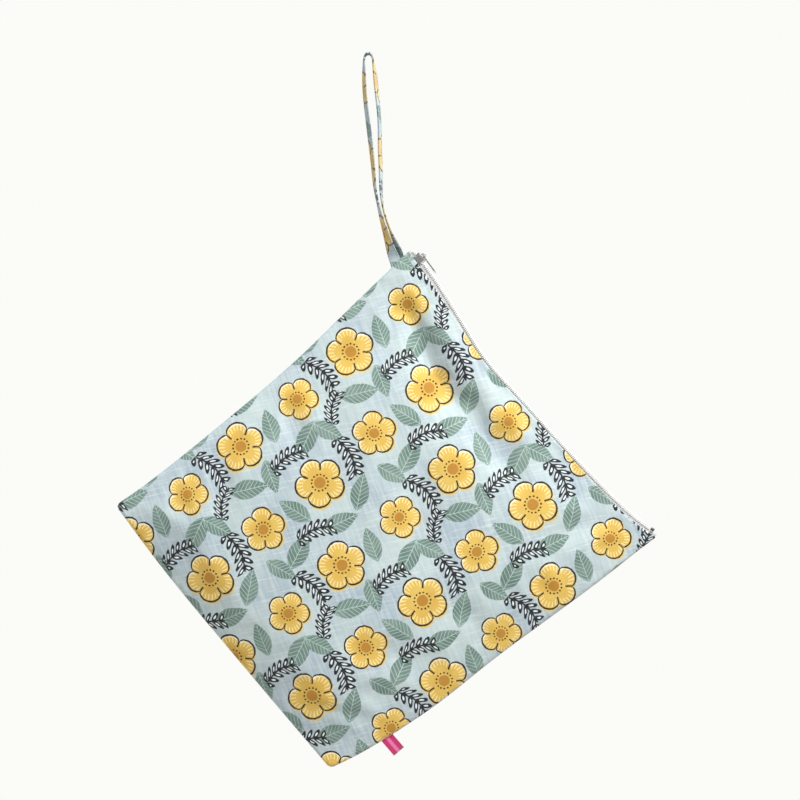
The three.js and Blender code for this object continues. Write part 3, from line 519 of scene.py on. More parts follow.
# The buds stand along it on both sides and lean towards its tip
slant = add(sprig, "ShaderNodeMath", {"operation": "MULTIPLY_ADD"}, {
    0: side, 1: -BUD_SLANT, 2: x,
}).outputs[0]
bud_x = add(sprig, "ShaderNodeMath", {"operation": "WRAP"}, {
    0: slant, 1: BUD_SPACING / 2, 2: -BUD_SPACING / 2,
}).outputs[0]
bud_y = add(sprig, "ShaderNodeMath", {"operation": "SUBTRACT"}, {0: side, 1: BUD_FROM_STEM}).outputs[0]
bud_y = add(sprig, "ShaderNodeMath", {"operation": "MULTIPLY"}, {
    0: bud_y, 1: BUD_NARROWING,
}).outputs[0]
bud_place = add(sprig, "ShaderNodeCombineXYZ", inputs={"X": bud_x, "Y": bud_y}).outputs[0]
bud_away = add(sprig, "ShaderNodeVectorMath", {"operation": "LENGTH"}, {0: bud_place}).outputs["Value"]
bud_out = add(sprig, "ShaderNodeMath", {"operation": "SUBTRACT"}, {0: bud_away, 1: BUD_RADIUS}).outputs[0]
bud_end = add(sprig, "ShaderNodeMath", {"operation": "SUBTRACT"}, {
    0: past_end, 1: BUD_PAST_STEM,
}).outputs[0]
bud_out = add(sprig, "ShaderNodeMath", {"operation": "MAXIMUM"}, {0: bud_out, 1: bud_end}).outputs[0]
bud_rim = add(sprig, "ShaderNodeMath", {"operation": "ABSOLUTE"}, {0: bud_out}).outputs[0]
drawn = add(sprig, "ShaderNodeMath", {"operation": "MINIMUM"}, {0: stem, 1: bud_rim}).outputs[0]
line = add(sprig, "ShaderNodeMapRange", inputs={
    "Value": drawn, "From Min": LINE_HALF, "From Max": LINE_HALF + INK_EDGE,
    "To Min": 1.0, "To Max": 0.0,
}).outputs[0]
bud = add(sprig, "ShaderNodeMapRange", inputs={
    "Value": bud_out, "From Min": -0.2, "From Max": 0.1, "To Min": 1.0, "To Max": 0.0,
}).outputs[0]
add(sprig, "NodeGroupOutput", inputs={"line": line, "bud": bud})

# The repeat of the print, in mm, with where each motif stands in it, its turn and its size
REPEAT = (122.0, 114.0)
BLOSSOMS = [
    {"x": 30, "y": 28, "turn": 12, "size": 1.0},
    {"x": 31, "y": 86, "turn": 50, "size": 0.86},
    {"x": 91, "y": 0, "turn": 75, "size": 0.9},
    {"x": 92, "y": 57, "turn": 30, "size": 1.02},
]
LEAVES = [
    {"x": 60, "y": 12, "turn": 62, "size": 0.9},
    {"x": 64, "y": 31, "turn": -20, "size": 0.8},
    {"x": 60, "y": 70, "turn": -66, "size": 0.94},
    {"x": 66, "y": 88, "turn": 22, "size": 0.8},
    {"x": 0, "y": 10, "turn": 112, "size": 0.92},
    {"x": 4, "y": 49, "turn": 74, "size": 0.88},
    {"x": 118, "y": 76, "turn": 128, "size": 0.86},
    {"x": 2, "y": 104, "turn": 20, "size": 0.78},
    {"x": 33, "y": 56, "turn": 160, "size": 0.82},
    {"x": 96, "y": 28, "turn": 198, "size": 0.85},
]
SPRIGS = [
    {"x": 28, "y": 0, "turn": 8, "size": 0.92},
    {"x": 61, "y": 50, "turn": 84, "size": 0.84},
    {"x": 118, "y": 30, "turn": 70, "size": 0.86},
    {"x": 92, "y": 88, "turn": -14, "size": 0.94},
    {"x": 54, "y": 103, "turn": 128, "size": 0.74},
]


def printed_cotton(name, map_name, cut_from):
    """Cotton canvas, plain woven from slightly slubby yarn and screen printed in flat colours: matt,
    with a soft sheen, faint streaks along the yarns and ink that sits in the weave."""
    material, tree = new_material(name)

    cut = add(tree, "ShaderNodeUVMap", {"uv_map": map_name}).outputs["UV"]
    mm = add(tree, "ShaderNodeVectorMath", {"operation": "MULTIPLY_ADD"}, {
        0: cut, 1: (1000.0, 1000.0, 0.0), 2: (*cut_from, 0.0),
    }).outputs[0]
    # Hand-drawn outlines waver by about half a millimetre
    wobble = add(tree, "ShaderNodeTexNoise", inputs={"Vector": mm, "Scale": 0.35, "Detail": 2.0})
    shake = add(tree, "ShaderNodeVectorMath", {"operation": "SUBTRACT"}, {
        0: wobble.outputs["Color"], 1: (0.5, 0.5, 0.5),
    }).outputs[0]
    drawn_at = add(tree, "ShaderNodeVectorMath", {"operation": "MULTIPLY_ADD"}, {
        0: shake, 1: (1.1, 1.1, 0.0), 2: mm,
    }).outputs[0]

    def stamped(group, rows, outputs):
        """Stamps a motif at every row of its table and joins what the copies print."""
        joined = {}
        for row in rows:
            away = add(tree, "ShaderNodeVectorMath", {"operation": "SUBTRACT"}, {
                0: drawn_at, 1: (row["x"], row["y"], 0.0),
            }).outputs[0]
            wrapped = add(tree, "ShaderNodeVectorMath", {"operation": "WRAP"}, {
                0: away,
                1: (REPEAT[0] / 2, REPEAT[1] / 2, 1.0),
                2: (-REPEAT[0] / 2, -REPEAT[1] / 2, -1.0),
            }).outputs[0]
            turned = add(tree, "ShaderNodeVectorRotate", {"rotation_type": "Z_AXIS"}, {
                "Vector": wrapped, "Angle": -math.radians(row["turn"]),
            }).outputs[0]
            sized = add(tree, "ShaderNodeVectorMath", {"operation": "SCALE"}, {
                0: turned, "Scale": 1 / row["size"],
            }).outputs[0]
            motif = add(tree, "ShaderNodeGroup", {"node_tree": group}, {"place": sized})
            for output in outputs:
                mask = motif.outputs[output]
                if output in joined:
                    mask = add(tree, "ShaderNodeMath", {"operation": "MAXIMUM"}, {
                        0: joined[output], 1: mask,
                    }).outputs[0]
                joined[output] = mask
        return joined

    flowers = stamped(
        blossom, BLOSSOMS, ["petal", "paint", "brushed", "heart", "line", "stroke", "depth"]
    )
    leaves = stamped(leaf, LEAVES, ["blade", "vein"])
    sprigs = stamped(sprig, SPRIGS, ["line", "bud"])

    # Slubs: thicker stretches of single yarns, some 0.5 mm wide and 10 to 30 mm long, both ways
    warp_place = add(tree, "ShaderNodeMapping", inputs={
        "Vector": mm, "Scale": (1.6, 0.05, 1.0),
    }).outputs[0]
    weft_place = add(tree, "ShaderNodeMapping", inputs={
        "Vector": mm, "Scale": (0.05, 1.6, 1.0),
    }).outputs[0]
    warp = add(tree, "ShaderNodeTexNoise", inputs={
        "Vector": warp_place, "Scale": 1.0, "Detail": 3.0,
    }).outputs[0]
    weft = add(tree, "ShaderNodeTexNoise", inputs={
        "Vector": weft_place, "Scale": 1.0, "Detail": 3.0,
    }).outputs[0]
    slub = add(tree, "ShaderNodeMath", {"operation": "ADD"}, {0: warp, 1: weft}).outputs[0]
    slub = add(tree, "ShaderNodeMapRange", inputs={
        "Value": slub, "From Min": 0.7, "From Max": 1.3,
    }).outputs[0]
    # Each ink is a little uneven, in patches some 15 mm across
    cloud = add(tree, "ShaderNodeTexNoise", inputs={
        "Vector": mm, "Scale": 0.06, "Detail": 4.0,
    }).outputs[0]
    cloud = add(tree, "ShaderNodeMapRange", inputs={
        "Value": cloud, "From Min": 0.35, "From Max": 0.65,
    }).outputs[0]

    # The ground is washed unevenly, from grey-blue to a greener tint
    wash = add(tree, "ShaderNodeTexNoise", inputs={
        "Vector": mm, "Scale": 0.022, "Detail": 3.0,
    }).outputs[0]
    wash = add(tree, "ShaderNodeMapRange", inputs={
        "Value": wash, "From Min": 0.38, "From Max": 0.62,
    }).outputs[0]
    tint = add(tree, "ShaderNodeMix", {"data_type": "RGBA"}, {
        0: wash, 6: linear("#93A1AB"), 7: linear("#A7B5B5"),
    }).outputs[2]
    # Soft brush strokes run over it one way
    brush_place = add(tree, "ShaderNodeVectorRotate", {"rotation_type": "Z_AXIS"}, {
        "Vector": mm, "Angle": math.radians(20),
    }).outputs[0]
    brush_place = add(tree, "ShaderNodeMapping", inputs={
        "Vector": brush_place, "Scale": (0.035, 0.42, 1.0),
    }).outputs[0]
    brush = add(tree, "ShaderNodeTexNoise", inputs={
        "Vector": brush_place, "Scale": 1.0, "Detail": 4.0, "Roughness": 0.55,
    }).outputs[0]
    brush = add(tree, "ShaderNodeMapRange", inputs={
        "Value": brush, "From Min": 0.4, "From Max": 0.75, "To Max": 0.8,
    }).outputs[0]
    ground = add(tree, "ShaderNodeMix", {"data_type": "RGBA"}, {
        0: brush, 6: tint, 7: linear("#B6C2C3"),
    }).outputs[2]
    # Over it are fine dry strokes, a millimetre wide, the other way
    dry_place = add(tree, "ShaderNodeVectorRotate", {"rotation_type": "Z_AXIS"}, {
        "Vector": drawn_at, "Angle": math.radians(-62),
    }).outputs[0]
    dry_place = add(tree, "ShaderNodeMapping", inputs={
        "Vector": dry_place, "Scale": (0.045, 0.7, 1.0),
    }).outputs[0]
    dry = add(tree, "ShaderNodeTexNoise", inputs={
        "Vector": dry_place, "Scale": 1.0, "Detail": 3.0, "Roughness": 0.6,
    }).outputs[0]
    dry = add(tree, "ShaderNodeMapRange", inputs={
        "Value": dry, "From Min": 0.54, "From Max": 0.68, "To Max": 0.5,
    }).outputs[0]
    ground = add(tree, "ShaderNodeMix", {"data_type": "RGBA"}, {
        0: dry, 6: ground, 7: linear("#C6D0D0"),
    }).outputs[2]
    sage = add(tree, "ShaderNodeMix", {"data_type": "RGBA"}, {
        0: cloud, 6: linear("#586F68"), 7: linear("#6F847C"),
    }).outputs[2]
    ripe = add(tree, "ShaderNodeMath", {"operation": "MULTIPLY"}, {
        0: flowers["depth"], 1: cloud,
    }).outputs[0]
    yellow = add(tree, "ShaderNodeMix", {"data_type": "RGBA"}, {
        0: ripe, 6: linear("#C8A852"), 7: linear("#BC9236"),
    }).outputs[2]
    # Where the yellow runs out past the drawn line, it is brushed on thinly
    bristle = add(tree, "ShaderNodeTexNoise", inputs={
        "Vector": mm, "Scale": 1.1, "Detail": 2.0,
    }).outputs[0]
    bristle = add(tree, "ShaderNodeMapRange", inputs={
        "Value": bristle, "From Min": 0.42, "From Max": 0.56,
    }).outputs[0]
    halo = add(tree, "ShaderNodeMath", {"operation": "MULTIPLY"}, {
        0: bristle, 1: flowers["brushed"],
    }).outputs[0]
    # The inks lie over the ground in this order, each under the next
    layers = [
        (leaves["blade"], sage),
        (leaves["vein"], linear("#A0B2AB")),
        (sprigs["bud"], linear("#D2D6D4")),
        (sprigs["line"], linear("#171920")),
        (flowers["petal"], linear("#D8DAD4")),
        (halo, linear("#CCB060")),
        (flowers["paint"], yellow),
        (flowers["stroke"], linear("#E0CD98")),
        (flowers["heart"], linear("#A37428")),
        (flowers["line"], linear("#1E1D22")),
    ]
    colour = ground
    for mask, ink in layers:
        colour = add(tree, "ShaderNodeMix", {"data_type": "RGBA"}, {0: mask, 6: colour, 7: ink}).outputs[2]

    # Ink is a little thin where a slub stands proud
    worn = add(tree, "ShaderNodeMapRange", inputs={
        "Value": slub, "From Min": 0.75, "From Max": 1.0, "To Min": 0.0, "To Max": 0.16,
    }).outputs[0]
    colour = add(tree, "ShaderNodeMix", {"data_type": "RGBA"}, {
        0: worn, 6: colour, 7: linear("#BFCBCF"),
    }).outputs[2]

    # The weave itself: warp over weft in turn, drawn at twice its real spacing so that it shows
    threads = add(tree, "ShaderNodeTexWave", {"bands_direction": "X"}, {
        "Vector": mm, "Scale": 0.35,
    }).outputs[1]
    picks = add(tree, "ShaderNodeTexWave", {"bands_direction": "Y"}, {
        "Vector": mm, "Scale": 0.35,
    }).outputs[1]
    weave = add(tree, "ShaderNodeMath", {"operation": "MULTIPLY"}, {0: threads, 1: picks}).outputs[0]
    relief = add(tree, "ShaderNodeMath", {"operation": "MULTIPLY_ADD"}, {
        0: slub, 1: 1.4, 2: weave,
    }).outputs[0]
    bump = add(tree, "ShaderNodeBump", inputs={
        "Height": relief, "Strength": 0.5, "Distance": 0.00012,
    }).outputs[0]
    rough = add(tree, "ShaderNodeMapRange", inputs={
        "Value": slub, "To Min": 0.72, "To Max": 0.84,
    }).outputs[0]
    shader = add(tree, "ShaderNodeBsdfPrincipled", inputs={
        "Base Color": colour, "Roughness": rough, "IOR": 1.5, "Specular IOR Level": 0.3,
        "Sheen Weight": 0.12, "Sheen Roughness": 0.5, "Normal": bump,
    })
    add(tree, "ShaderNodeOutputMaterial", inputs={"Surface": shader.outputs[0]})
    return material


panel_cotton = printed_cotton("printed_cotton_canvas", "cut_in_metres", (0.0, 0.0))
for node_name, piece_name, facing, folds in (
    ("front_panel", "front_cloth", -1, FRONT_FOLDS),
    ("back_panel", "back_cloth", 1, BACK_FOLDS),
):
    panel = printed_panel(node_name, piece_name, facing, folds)
    panel.data.materials.append(panel_cotton)
    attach(panel, "bag")
    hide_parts(node_name)


# Wrist strap. A band of the same printed cotton, folded lengthwise with its raw edges inside and
# topstitched along both edges. It is doubled over what the bag hangs on, and both ends are sewn
# into the side seam.

STRAP_HALF_WIDTH = 0.0045
STRAP_HALF_THICKNESS = 0.0008
STRAP_STEP = 0.0025
STRAP_SECTION_STEPS = 28
STITCH_FROM_EDGE = 0.0012
STITCH_LENGTH = 0.0026
STITCH_GAP = 0.0002
THREAD_HALF = 0.0002
PINCH_WIDTH = 0.0005
PINCH_DEPTH = 0.22

# The way in which both ends run into the seam, leaning from straight down
STRAP_LEAN = math.radians(11)
INTO_SEAM = Vector((math.sin(STRAP_LEAN), 0, -math.cos(STRAP_LEAN)))

# The points in one section of the strap's solid, and how often its run between them is smoothed
GUIDE_SECTION_POINTS = 6
SMOOTHINGS = 3

# Where on the print the band is cut out, in mm
STRAP_CUT_FROM = (38.0, 3.0)


def strap_rings():
    """The band's centres and its ways across, read from the solid's own sections."""
    copy = merged_copy("wrist_strap", "strap_guide")
    mesh = copy.data
    points = read_points(mesh)
    # The walk along the band starts at the front end's last section
    reach = points @ np.array(INTO_SEAM)
    front = [index for index in np.argsort(-reach) if points[index, 1] < 0]
    ring = set(front[:GUIDE_SECTION_POINTS])
    links = {}
    for edge in mesh.edges:
        one_end, other_end = edge.vertices
        links.setdefault(one_end, set()).add(other_end)
        links.setdefault(other_end, set()).add(one_end)
    seen = set()
    rings = []
    while ring:
        rings.append(sorted(ring))
        seen |= ring
        ring = {other for index in ring for other in links[index]} - seen
    bpy.data.objects.remove(copy)
    centres = np.array([points[ring].mean(0) for ring in rings])
    across = []
    for ring, centre in zip(rings, centres):
        spread = points[ring] - centre
        widest = spread[np.argmax((spread ** 2).sum(1))]
        widest = widest / np.linalg.norm(widest)
        if across and widest @ across[-1] < 0:
            widest = -widest
        across.append(widest)
    return centres, np.array(across)


def resampled(values, lengths, places):
    """The values at even places along the band, read between the sections."""
    return np.stack([np.interp(places, lengths, values[:, axis]) for axis in range(3)], 1)


def strap_section():
    """The folded band across: flat faces pinched at the two stitch lines, and round edges."""
    section = []
    for index in range(STRAP_SECTION_STEPS):
        angle = 2 * math.pi * index / STRAP_SECTION_STEPS
        # Powers under 1 square the oval
        wide = abs(math.cos(angle)) ** 0.55 * math.copysign(1, math.cos(angle))
        thick = abs(math.sin(angle)) ** 0.42 * math.copysign(1, math.sin(angle))
        across = STRAP_HALF_WIDTH * wide
        from_stitch = STRAP_HALF_WIDTH - abs(across) - STITCH_FROM_EDGE
        pinch = PINCH_DEPTH * math.exp(-((from_stitch / PINCH_WIDTH) ** 2))
        section.append((across, STRAP_HALF_THICKNESS * thick * (1 - pinch)))
    return section


centres, across = strap_rings()
lengths = np.concatenate([[0], np.cumsum(np.linalg.norm(np.diff(centres, axis=0), axis=1))])
strap_length = float(lengths[-1])
count = int(strap_length / STRAP_STEP)
places = np.linspace(0, strap_length, count)
smooth_centres = resampled(centres, lengths, places)
smooth_across = resampled(across, lengths, places)
for _ in range(SMOOTHINGS):
    smooth_centres[1:-1] = (smooth_centres[:-2] + 2 * smooth_centres[1:-1] + smooth_centres[2:]) / 4
    smooth_across[1:-1] = (smooth_across[:-2] + 2 * smooth_across[1:-1] + smooth_across[2:]) / 4

section = strap_section()
verts = []
for index in range(count):
    ahead = smooth_centres[min(index + 1, count - 1)] - smooth_centres[max(index - 1, 0)]
    along = Vector(ahead).normalized()
    wide = Vector(smooth_across[index]).normalized()
    face = wide.cross(along).normalized()
    wide = along.cross(face).normalized()
    centre = Vector(smooth_centres[index])
    for sideways, outward in section:
        verts.append(centre + wide * sideways + face * outward)
sides = len(section)
faces = []
for ring in range(count - 1):
    for side in range(sides):
        here = ring * sides + side
        next_side = ring * sides + (side + 1) % sides
        faces.append((here, next_side, next_side + sides, here + sides))
faces.append(tuple(range(sides))[::-1])
faces.append(tuple((count - 1) * sides + side for side in range(sides)))
strap_mesh = bpy.data.meshes.new("wrist_strap_band")
strap_mesh.from_pydata([tuple(point) for point in verts], [], faces)
strap = bpy.data.objects.new("wrist_strap_band", strap_mesh)
bpy.context.scene.collection.objects.link(strap)
strap_map = strap_mesh.uv_layers.new(name="band_in_metres")
for face in strap_mesh.polygons:
    for loop in face.loop_indices:
        index = strap_mesh.loops[loop].vertex_index
        ring, side = divmod(index, sides)
        strap_map.data[loop].uv = (section[side][0], places[ring] - strap_length / 2)
only(strap)
bpy.ops.object.mode_set(mode="EDIT")
bpy.ops.mesh.select_all(action="SELECT")
bpy.ops.mesh.normals_make_consistent(inside=False)
bpy.ops.object.mode_set(mode="OBJECT")
bpy.ops.object.shade_smooth()

strap_cotton = printed_cotton("printed_cotton_strap", "band_in_metres", STRAP_CUT_FROM)

# The topstitching: pale thread along both edges, standing a little proud of the cloth
tree = strap_cotton.node_tree
shader = next(node for node in tree.nodes if node.type == "BSDF_PRINCIPLED")
cut = add(tree, "ShaderNodeUVMap", {"uv_map": "band_in_metres"}).outputs["UV"]
parts = add(tree, "ShaderNodeSeparateXYZ", inputs={0: cut})
from_middle = add(tree, "ShaderNodeMath", {"operation": "ABSOLUTE"}, {0: parts.outputs["X"]}).outputs[0]
from_line = add(tree, "ShaderNodeMath", {"operation": "SUBTRACT"}, {
    0: from_middle, 1: STRAP_HALF_WIDTH - STITCH_FROM_EDGE,
}).outputs[0]
from_line = add(tree, "ShaderNodeMath", {"operation": "ABSOLUTE"}, {0: from_line}).outputs[0]
in_stitch = add(tree, "ShaderNodeMath", {"operation": "PINGPONG"}, {
    0: parts.outputs["Y"], 1: STITCH_LENGTH / 2,
}).outputs[0]
thread_line = add(tree, "ShaderNodeMapRange", inputs={
    "Value": from_line, "From Min": THREAD_HALF, "From Max": 1.75 * THREAD_HALF,
    "To Min": 1.0, "To Max": 0.0,
}).outputs[0]
thread_run = add(tree, "ShaderNodeMapRange", inputs={
    "Value": in_stitch, "From Min": 0.5 * STITCH_GAP, "From Max": 1.5 * STITCH_GAP,
}).outputs[0]
thread = add(tree, "ShaderNodeMath", {"operation": "MULTIPLY"}, {
    0: thread_line, 1: thread_run,
}).outputs[0]
cloth_colour = shader.inputs["Base Color"].links[0].from_socket
# Painted shade: the colour darkens towards the folded edges, where the band rounds away from the flat
painted_edge_shade = add(tree, "ShaderNodeMapRange", inputs={
    "Value": from_middle, "From Min": 0.5 * STRAP_HALF_WIDTH, "From Max": STRAP_HALF_WIDTH,
    "To Min": 0.12, "To Max": 0.5,
}).outputs[0]
cloth_colour = add(tree, "ShaderNodeMix", {"data_type": "RGBA"}, {
    0: painted_edge_shade, 6: cloth_colour, 7: linear("#4F5F69"),
}).outputs[2]
sewn = add(tree, "ShaderNodeMix", {"data_type": "RGBA"}, {
    0: thread, 6: cloth_colour, 7: linear("#A4B4BB"),
})
tree.links.new(sewn.outputs[2], shader.inputs["Base Color"])
cloth_bump = shader.inputs["Normal"].links[0].from_socket
raised = add(tree, "ShaderNodeBump", inputs={
    "Height": thread, "Strength": 0.6, "Distance": 0.0003, "Normal": cloth_bump,
})
tree.links.new(raised.outputs[0], shader.inputs["Normal"])
strap.data.materials.append(strap_cotton)
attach(strap, "bag")
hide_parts("wrist_strap")


# Zip coil. Two rows of nylon loops, one on each tape, that lock into each other along the mouth.
# Each loop is a bent round wire with a thicker head in the middle, 1.5 mm from the next.

TOOTH_PITCH = 0.0015
TOOTH_RADIUS = 0.00052
TOOTH_LENGTH = 0.0028
HEAD_STEP = 0.0005
COIL_HALF_WIDTH = 0.0024

# The coil's bare ends on its solid, and the half-length over which its slope is read
COIL_START_GAP = 0.001
COIL_END_GAP = 0.0008
SLOPE_REACH = 0.001

guide = merged_copy("zip_coil", "coil_guide")
coil_places = bag_places(guide.data)
bpy.data.objects.remove(guide)
stations = np.unique(np.round(coil_places[:, 0], 5))
tops = np.array([
    coil_places[np.abs(coil_places[:, 0] - station) < 5e-5, 2].max() for station in stations
])

bpy.ops.object.select_all(action="DESELECT")
bpy.ops.mesh.primitive_cylinder_add(
    vertices=8, radius=TOOTH_RADIUS, depth=TOOTH_LENGTH, end_fill_type="NGON",
)
tooth = bpy.context.active_object
bpy.ops.object.mode_set(mode="EDIT")
bpy.ops.mesh.select_mode(type="FACE")
bpy.ops.mesh.select_all(action="DESELECT")
bpy.ops.object.mode_set(mode="OBJECT")
for face in tooth.data.polygons:
    face.select = face.normal.z > 0.9
# The head swells and closes again
bpy.ops.object.mode_set(mode="EDIT")
bpy.ops.mesh.extrude_region_move(TRANSFORM_OT_translate={"value": (0, 0, HEAD_STEP)})
bpy.ops.transform.resize(value=(1.28, 1.1, 1))
bpy.ops.mesh.extrude_region_move(TRANSFORM_OT_translate={"value": (0, 0, HEAD_STEP)})
bpy.ops.transform.resize(value=(0.62, 0.62, 1))
bpy.ops.mesh.select_all(action="DESELECT")
bpy.ops.object.mode_set(mode="OBJECT")
for face in tooth.data.polygons:
    face.select = face.normal.z < -0.9
# The other end bends down to the tape
bpy.ops.object.mode_set(mode="EDIT")
bpy.ops.mesh.extrude_region_move(TRANSFORM_OT_translate={"value": (0, 0.0005, -0.0004)})
bpy.ops.mesh.extrude_region_move(TRANSFORM_OT_translate={"value": (0, 0.0009, -0.0001)})
bpy.ops.object.mode_set(mode="OBJECT")
tooth_points = read_points(tooth.data)
tooth_faces = [tuple(face.vertices) for face in tooth.data.polygons]
bpy.data.objects.remove(tooth)
tooth_points[:, 2] -= tooth_points[:, 2].min()
tooth_points[:, 1] *= -1

coil_points = []
coil_faces = []
first = stations[0] + COIL_START_GAP
last = stations[-1] - COIL_END_GAP
for row, side in ((0, -1), (1, 1)):
    place = first + row * TOOTH_PITCH / 2
    while place < last:
        behind, top, ahead = np.interp(
            [place - SLOPE_REACH, place, place + SLOPE_REACH], stations, tops
        )
        slope = (ahead - behind) / (2 * SLOPE_REACH)
        start = sum(len(part) for part in coil_points)
        local = np.empty_like(tooth_points)
        local[:, 0] = place + tooth_points[:, 0]
        local[:, 1] = side * (COIL_HALF_WIDTH - tooth_points[:, 2])
        local[:, 2] = top - TOOTH_RADIUS + tooth_points[:, 1] + slope * tooth_points[:, 0]
        coil_points.append(local)
        order = 1 if side > 0 else -1
        coil_faces.extend(tuple(start + index for index in face[::order]) for face in tooth_faces)
        place += TOOTH_PITCH
coil_mesh = bpy.data.meshes.new("zip_teeth")
all_points = np.concatenate(coil_points)
coil_mesh.from_pydata([tuple(bag_to_world @ Vector(point)) for point in all_points], [], coil_faces)
coil = bpy.data.objects.new("zip_teeth", coil_mesh)
bpy.context.scene.collection.objects.link(coil)
only(coil)
bpy.ops.object.mode_set(mode="EDIT")
bpy.ops.mesh.select_all(action="SELECT")
bpy.ops.mesh.normals_make_consistent(inside=False)
bpy.ops.object.mode_set(mode="OBJECT")
bpy.ops.object.shade_smooth_by_angle(angle=math.radians(50))

# Nylon 66, drawn and heat set: milky white, smooth, with a soft shine and a faint haze that changes
# every 10 mm or so
nylon, tree = new_material("milky_white_nylon")
place = add(tree, "ShaderNodeTexCoord").outputs["Object"]
haze = add(tree, "ShaderNodeTexNoise", inputs={
    "Vector": place, "Scale": 90.0, "Detail": 3.0,
}).outputs[0]
white = add(tree, "ShaderNodeMix", {"data_type": "RGBA"}, {
    0: haze, 6: linear("#C4C4C1"), 7: linear("#D4D4D1"),
}).outputs[2]
rough = add(tree, "ShaderNodeMapRange", inputs={
    "Value": haze, "To Min": 0.3, "To Max": 0.46,
}).outputs[0]
shader = add(tree, "ShaderNodeBsdfPrincipled", inputs={
    "Base Color": white, "Roughness": rough, "IOR": 1.53,
})
add(tree, "ShaderNodeOutputMaterial", inputs={"Surface": shader.outputs[0]})
coil.data.materials.append(nylon)
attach(coil, "bag")
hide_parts("zip_coil")


# Zip tapes. Two white woven polyester tapes that carry the coil and are sewn inside the mouth. Only
# their top few millimetres and their ends show above the cloth.

# Polyester yarn woven in slanting ribs about 0.9 mm apart: matt, a clean white
tape_weave, tree = new_material("white_woven_polyester_tape")
place = add(tree, "ShaderNodeTexCoord").outputs["Object"]
place = add(tree, "ShaderNodeVectorRotate", {"rotation_type": "Y_AXIS"}, {
    "Vector": place, "Angle": -BAG_TURN,
}).outputs[0]
mm = add(tree, "ShaderNodeVectorMath", {"operation": "SCALE"}, {
    0: place, "Scale": 1000.0,
}).outputs[0]
ribs = add(tree, "ShaderNodeTexWave", {"bands_direction": "DIAGONAL"}, {
    "Vector": mm, "Scale": 0.5, "Distortion": 0.6, "Detail": 1.0,
}).outputs[1]
fuzz = add(tree, "ShaderNodeTexNoise", inputs={
    "Vector": mm, "Scale": 1.4, "Detail": 3.0,
}).outputs[0]
shade = add(tree, "ShaderNodeMath", {"operation": "MULTIPLY"}, {0: ribs, 1: fuzz}).outputs[0]
white = add(tree, "ShaderNodeMix", {"data_type": "RGBA"}, {
    0: shade, 6: linear("#B4B5B4"), 7: linear("#D2D2D0"),
}).outputs[2]
bump = add(tree, "ShaderNodeBump", inputs={
    "Height": shade, "Strength": 0.5, "Distance": 0.00015,
}).outputs[0]
shader = add(tree, "ShaderNodeBsdfPrincipled", inputs={
    "Base Color": white, "Roughness": 0.85, "IOR": 1.5, "Sheen Weight": 0.1, "Normal": bump,
})
add(tree, "ShaderNodeOutputMaterial", inputs={"Surface": shader.outputs[0]})
for node_name in ("zip_tape_front", "zip_tape_back"):
    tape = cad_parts[node_name]
    tape.data.materials.clear()
    tape.data.materials.append(tape_weave)


# Slider, pull tab and end stop. The slider is a die-cast zinc body with its bridge and the tab is
# stamped, both nickel plated. The end stop is a small clip of darkened steel pressed over the coil.

EDGE_ROUNDING = 0.00012
SHARP_ANGLE = math.radians(35)


def softened(node_name, piece_name):
    """A hard piece with its node's shape and the small round edges that casting and plating leave."""
    piece = merged_copy(node_name, piece_name)
    only(piece)
    bpy.ops.object.mode_set(mode="EDIT")
    bpy.ops.mesh.select_all(action="SELECT")
    bpy.ops.mesh.dissolve_limited(angle_limit=math.radians(1))
    bpy.ops.object.mode_set(mode="OBJECT")
    bevel = piece.modifiers.new("round edges", "BEVEL")
    bevel.width = EDGE_ROUNDING
    bevel.segments = 2
    bevel.limit_method = "ANGLE"
    bevel.angle_limit = SHARP_ANGLE
    bevel.use_clamp_overlap = True
    apply_modifiers(piece)
    only(piece)
    bpy.ops.object.shade_smooth_by_angle(angle=SHARP_ANGLE)
    return piece


def tumbled_metal(name, dark, light, low_rough, high_rough):
    """Cast or stamped metal, tumbled and then plated or darkened: shiny, hazed by fine marks."""
    material, tree = new_material(name)
    place = add(tree, "ShaderNodeTexCoord").outputs["Object"]
    # The marks are drawn about 1 mm across, coarser than real ones, so that they show
    marks = add(tree, "ShaderNodeTexNoise", inputs={
        "Vector": place, "Scale": 900.0, "Detail": 4.0,
    }).outputs[0]
    wear = add(tree, "ShaderNodeTexNoise", inputs={
        "Vector": place, "Scale": 260.0, "Detail": 2.0,
    }).outputs[0]
    colour = add(tree, "ShaderNodeMix", {"data_type": "RGBA"}, {
        0: wear, 6: linear(dark), 7: linear(light),
    }).outputs[2]
    rough = add(tree, "ShaderNodeMapRange", inputs={
        "Value": marks, "From Min": 0.3, "From Max": 0.7, "To Min": low_rough, "To Max": high_rough,
    }).outputs[0]
    bump = add(tree, "ShaderNodeBump", inputs={
        "Height": marks, "Strength": 0.15, "Distance": 0.00005,
    }).outputs[0]
    shader = add(tree, "ShaderNodeBsdfPrincipled", inputs={
        "Base Color": colour, "Metallic": 1.0, "Roughness": rough, "Normal": bump,
    })
    add(tree, "ShaderNodeOutputMaterial", inputs={"Surface": shader.outputs[0]})
    return material


# The nickel is a bright, slightly cool grey. The darkened steel is a duller, dark grey.
nickel = tumbled_metal("bright_nickel_plated_zinc", "#B9BABC", "#DCDDDE", 0.18, 0.34)
dark_steel = tumbled_metal("darkened_pressed_steel", "#4B4A4D", "#7A797B", 0.3, 0.5)
for node_name, piece_name, body, metal, slot_name in (
    ("zip_slider", "slider_body", "bag", nickel, "slider_metal"),
    ("zip_pull", "pull_tab", "zip_pull", nickel, "slider_metal"),
    ("zip_end_stop", "end_stop_clip", "bag", dark_steel, "stop_metal"),
):
    piece = softened(node_name, piece_name)
    piece.data.materials.append(metal)
    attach(piece, body)
    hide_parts(node_name)


# Side label. A 10 mm satin ribbon, folded in half with both ends caught in the far side's seam, so
# a small loop stands out of the bag.

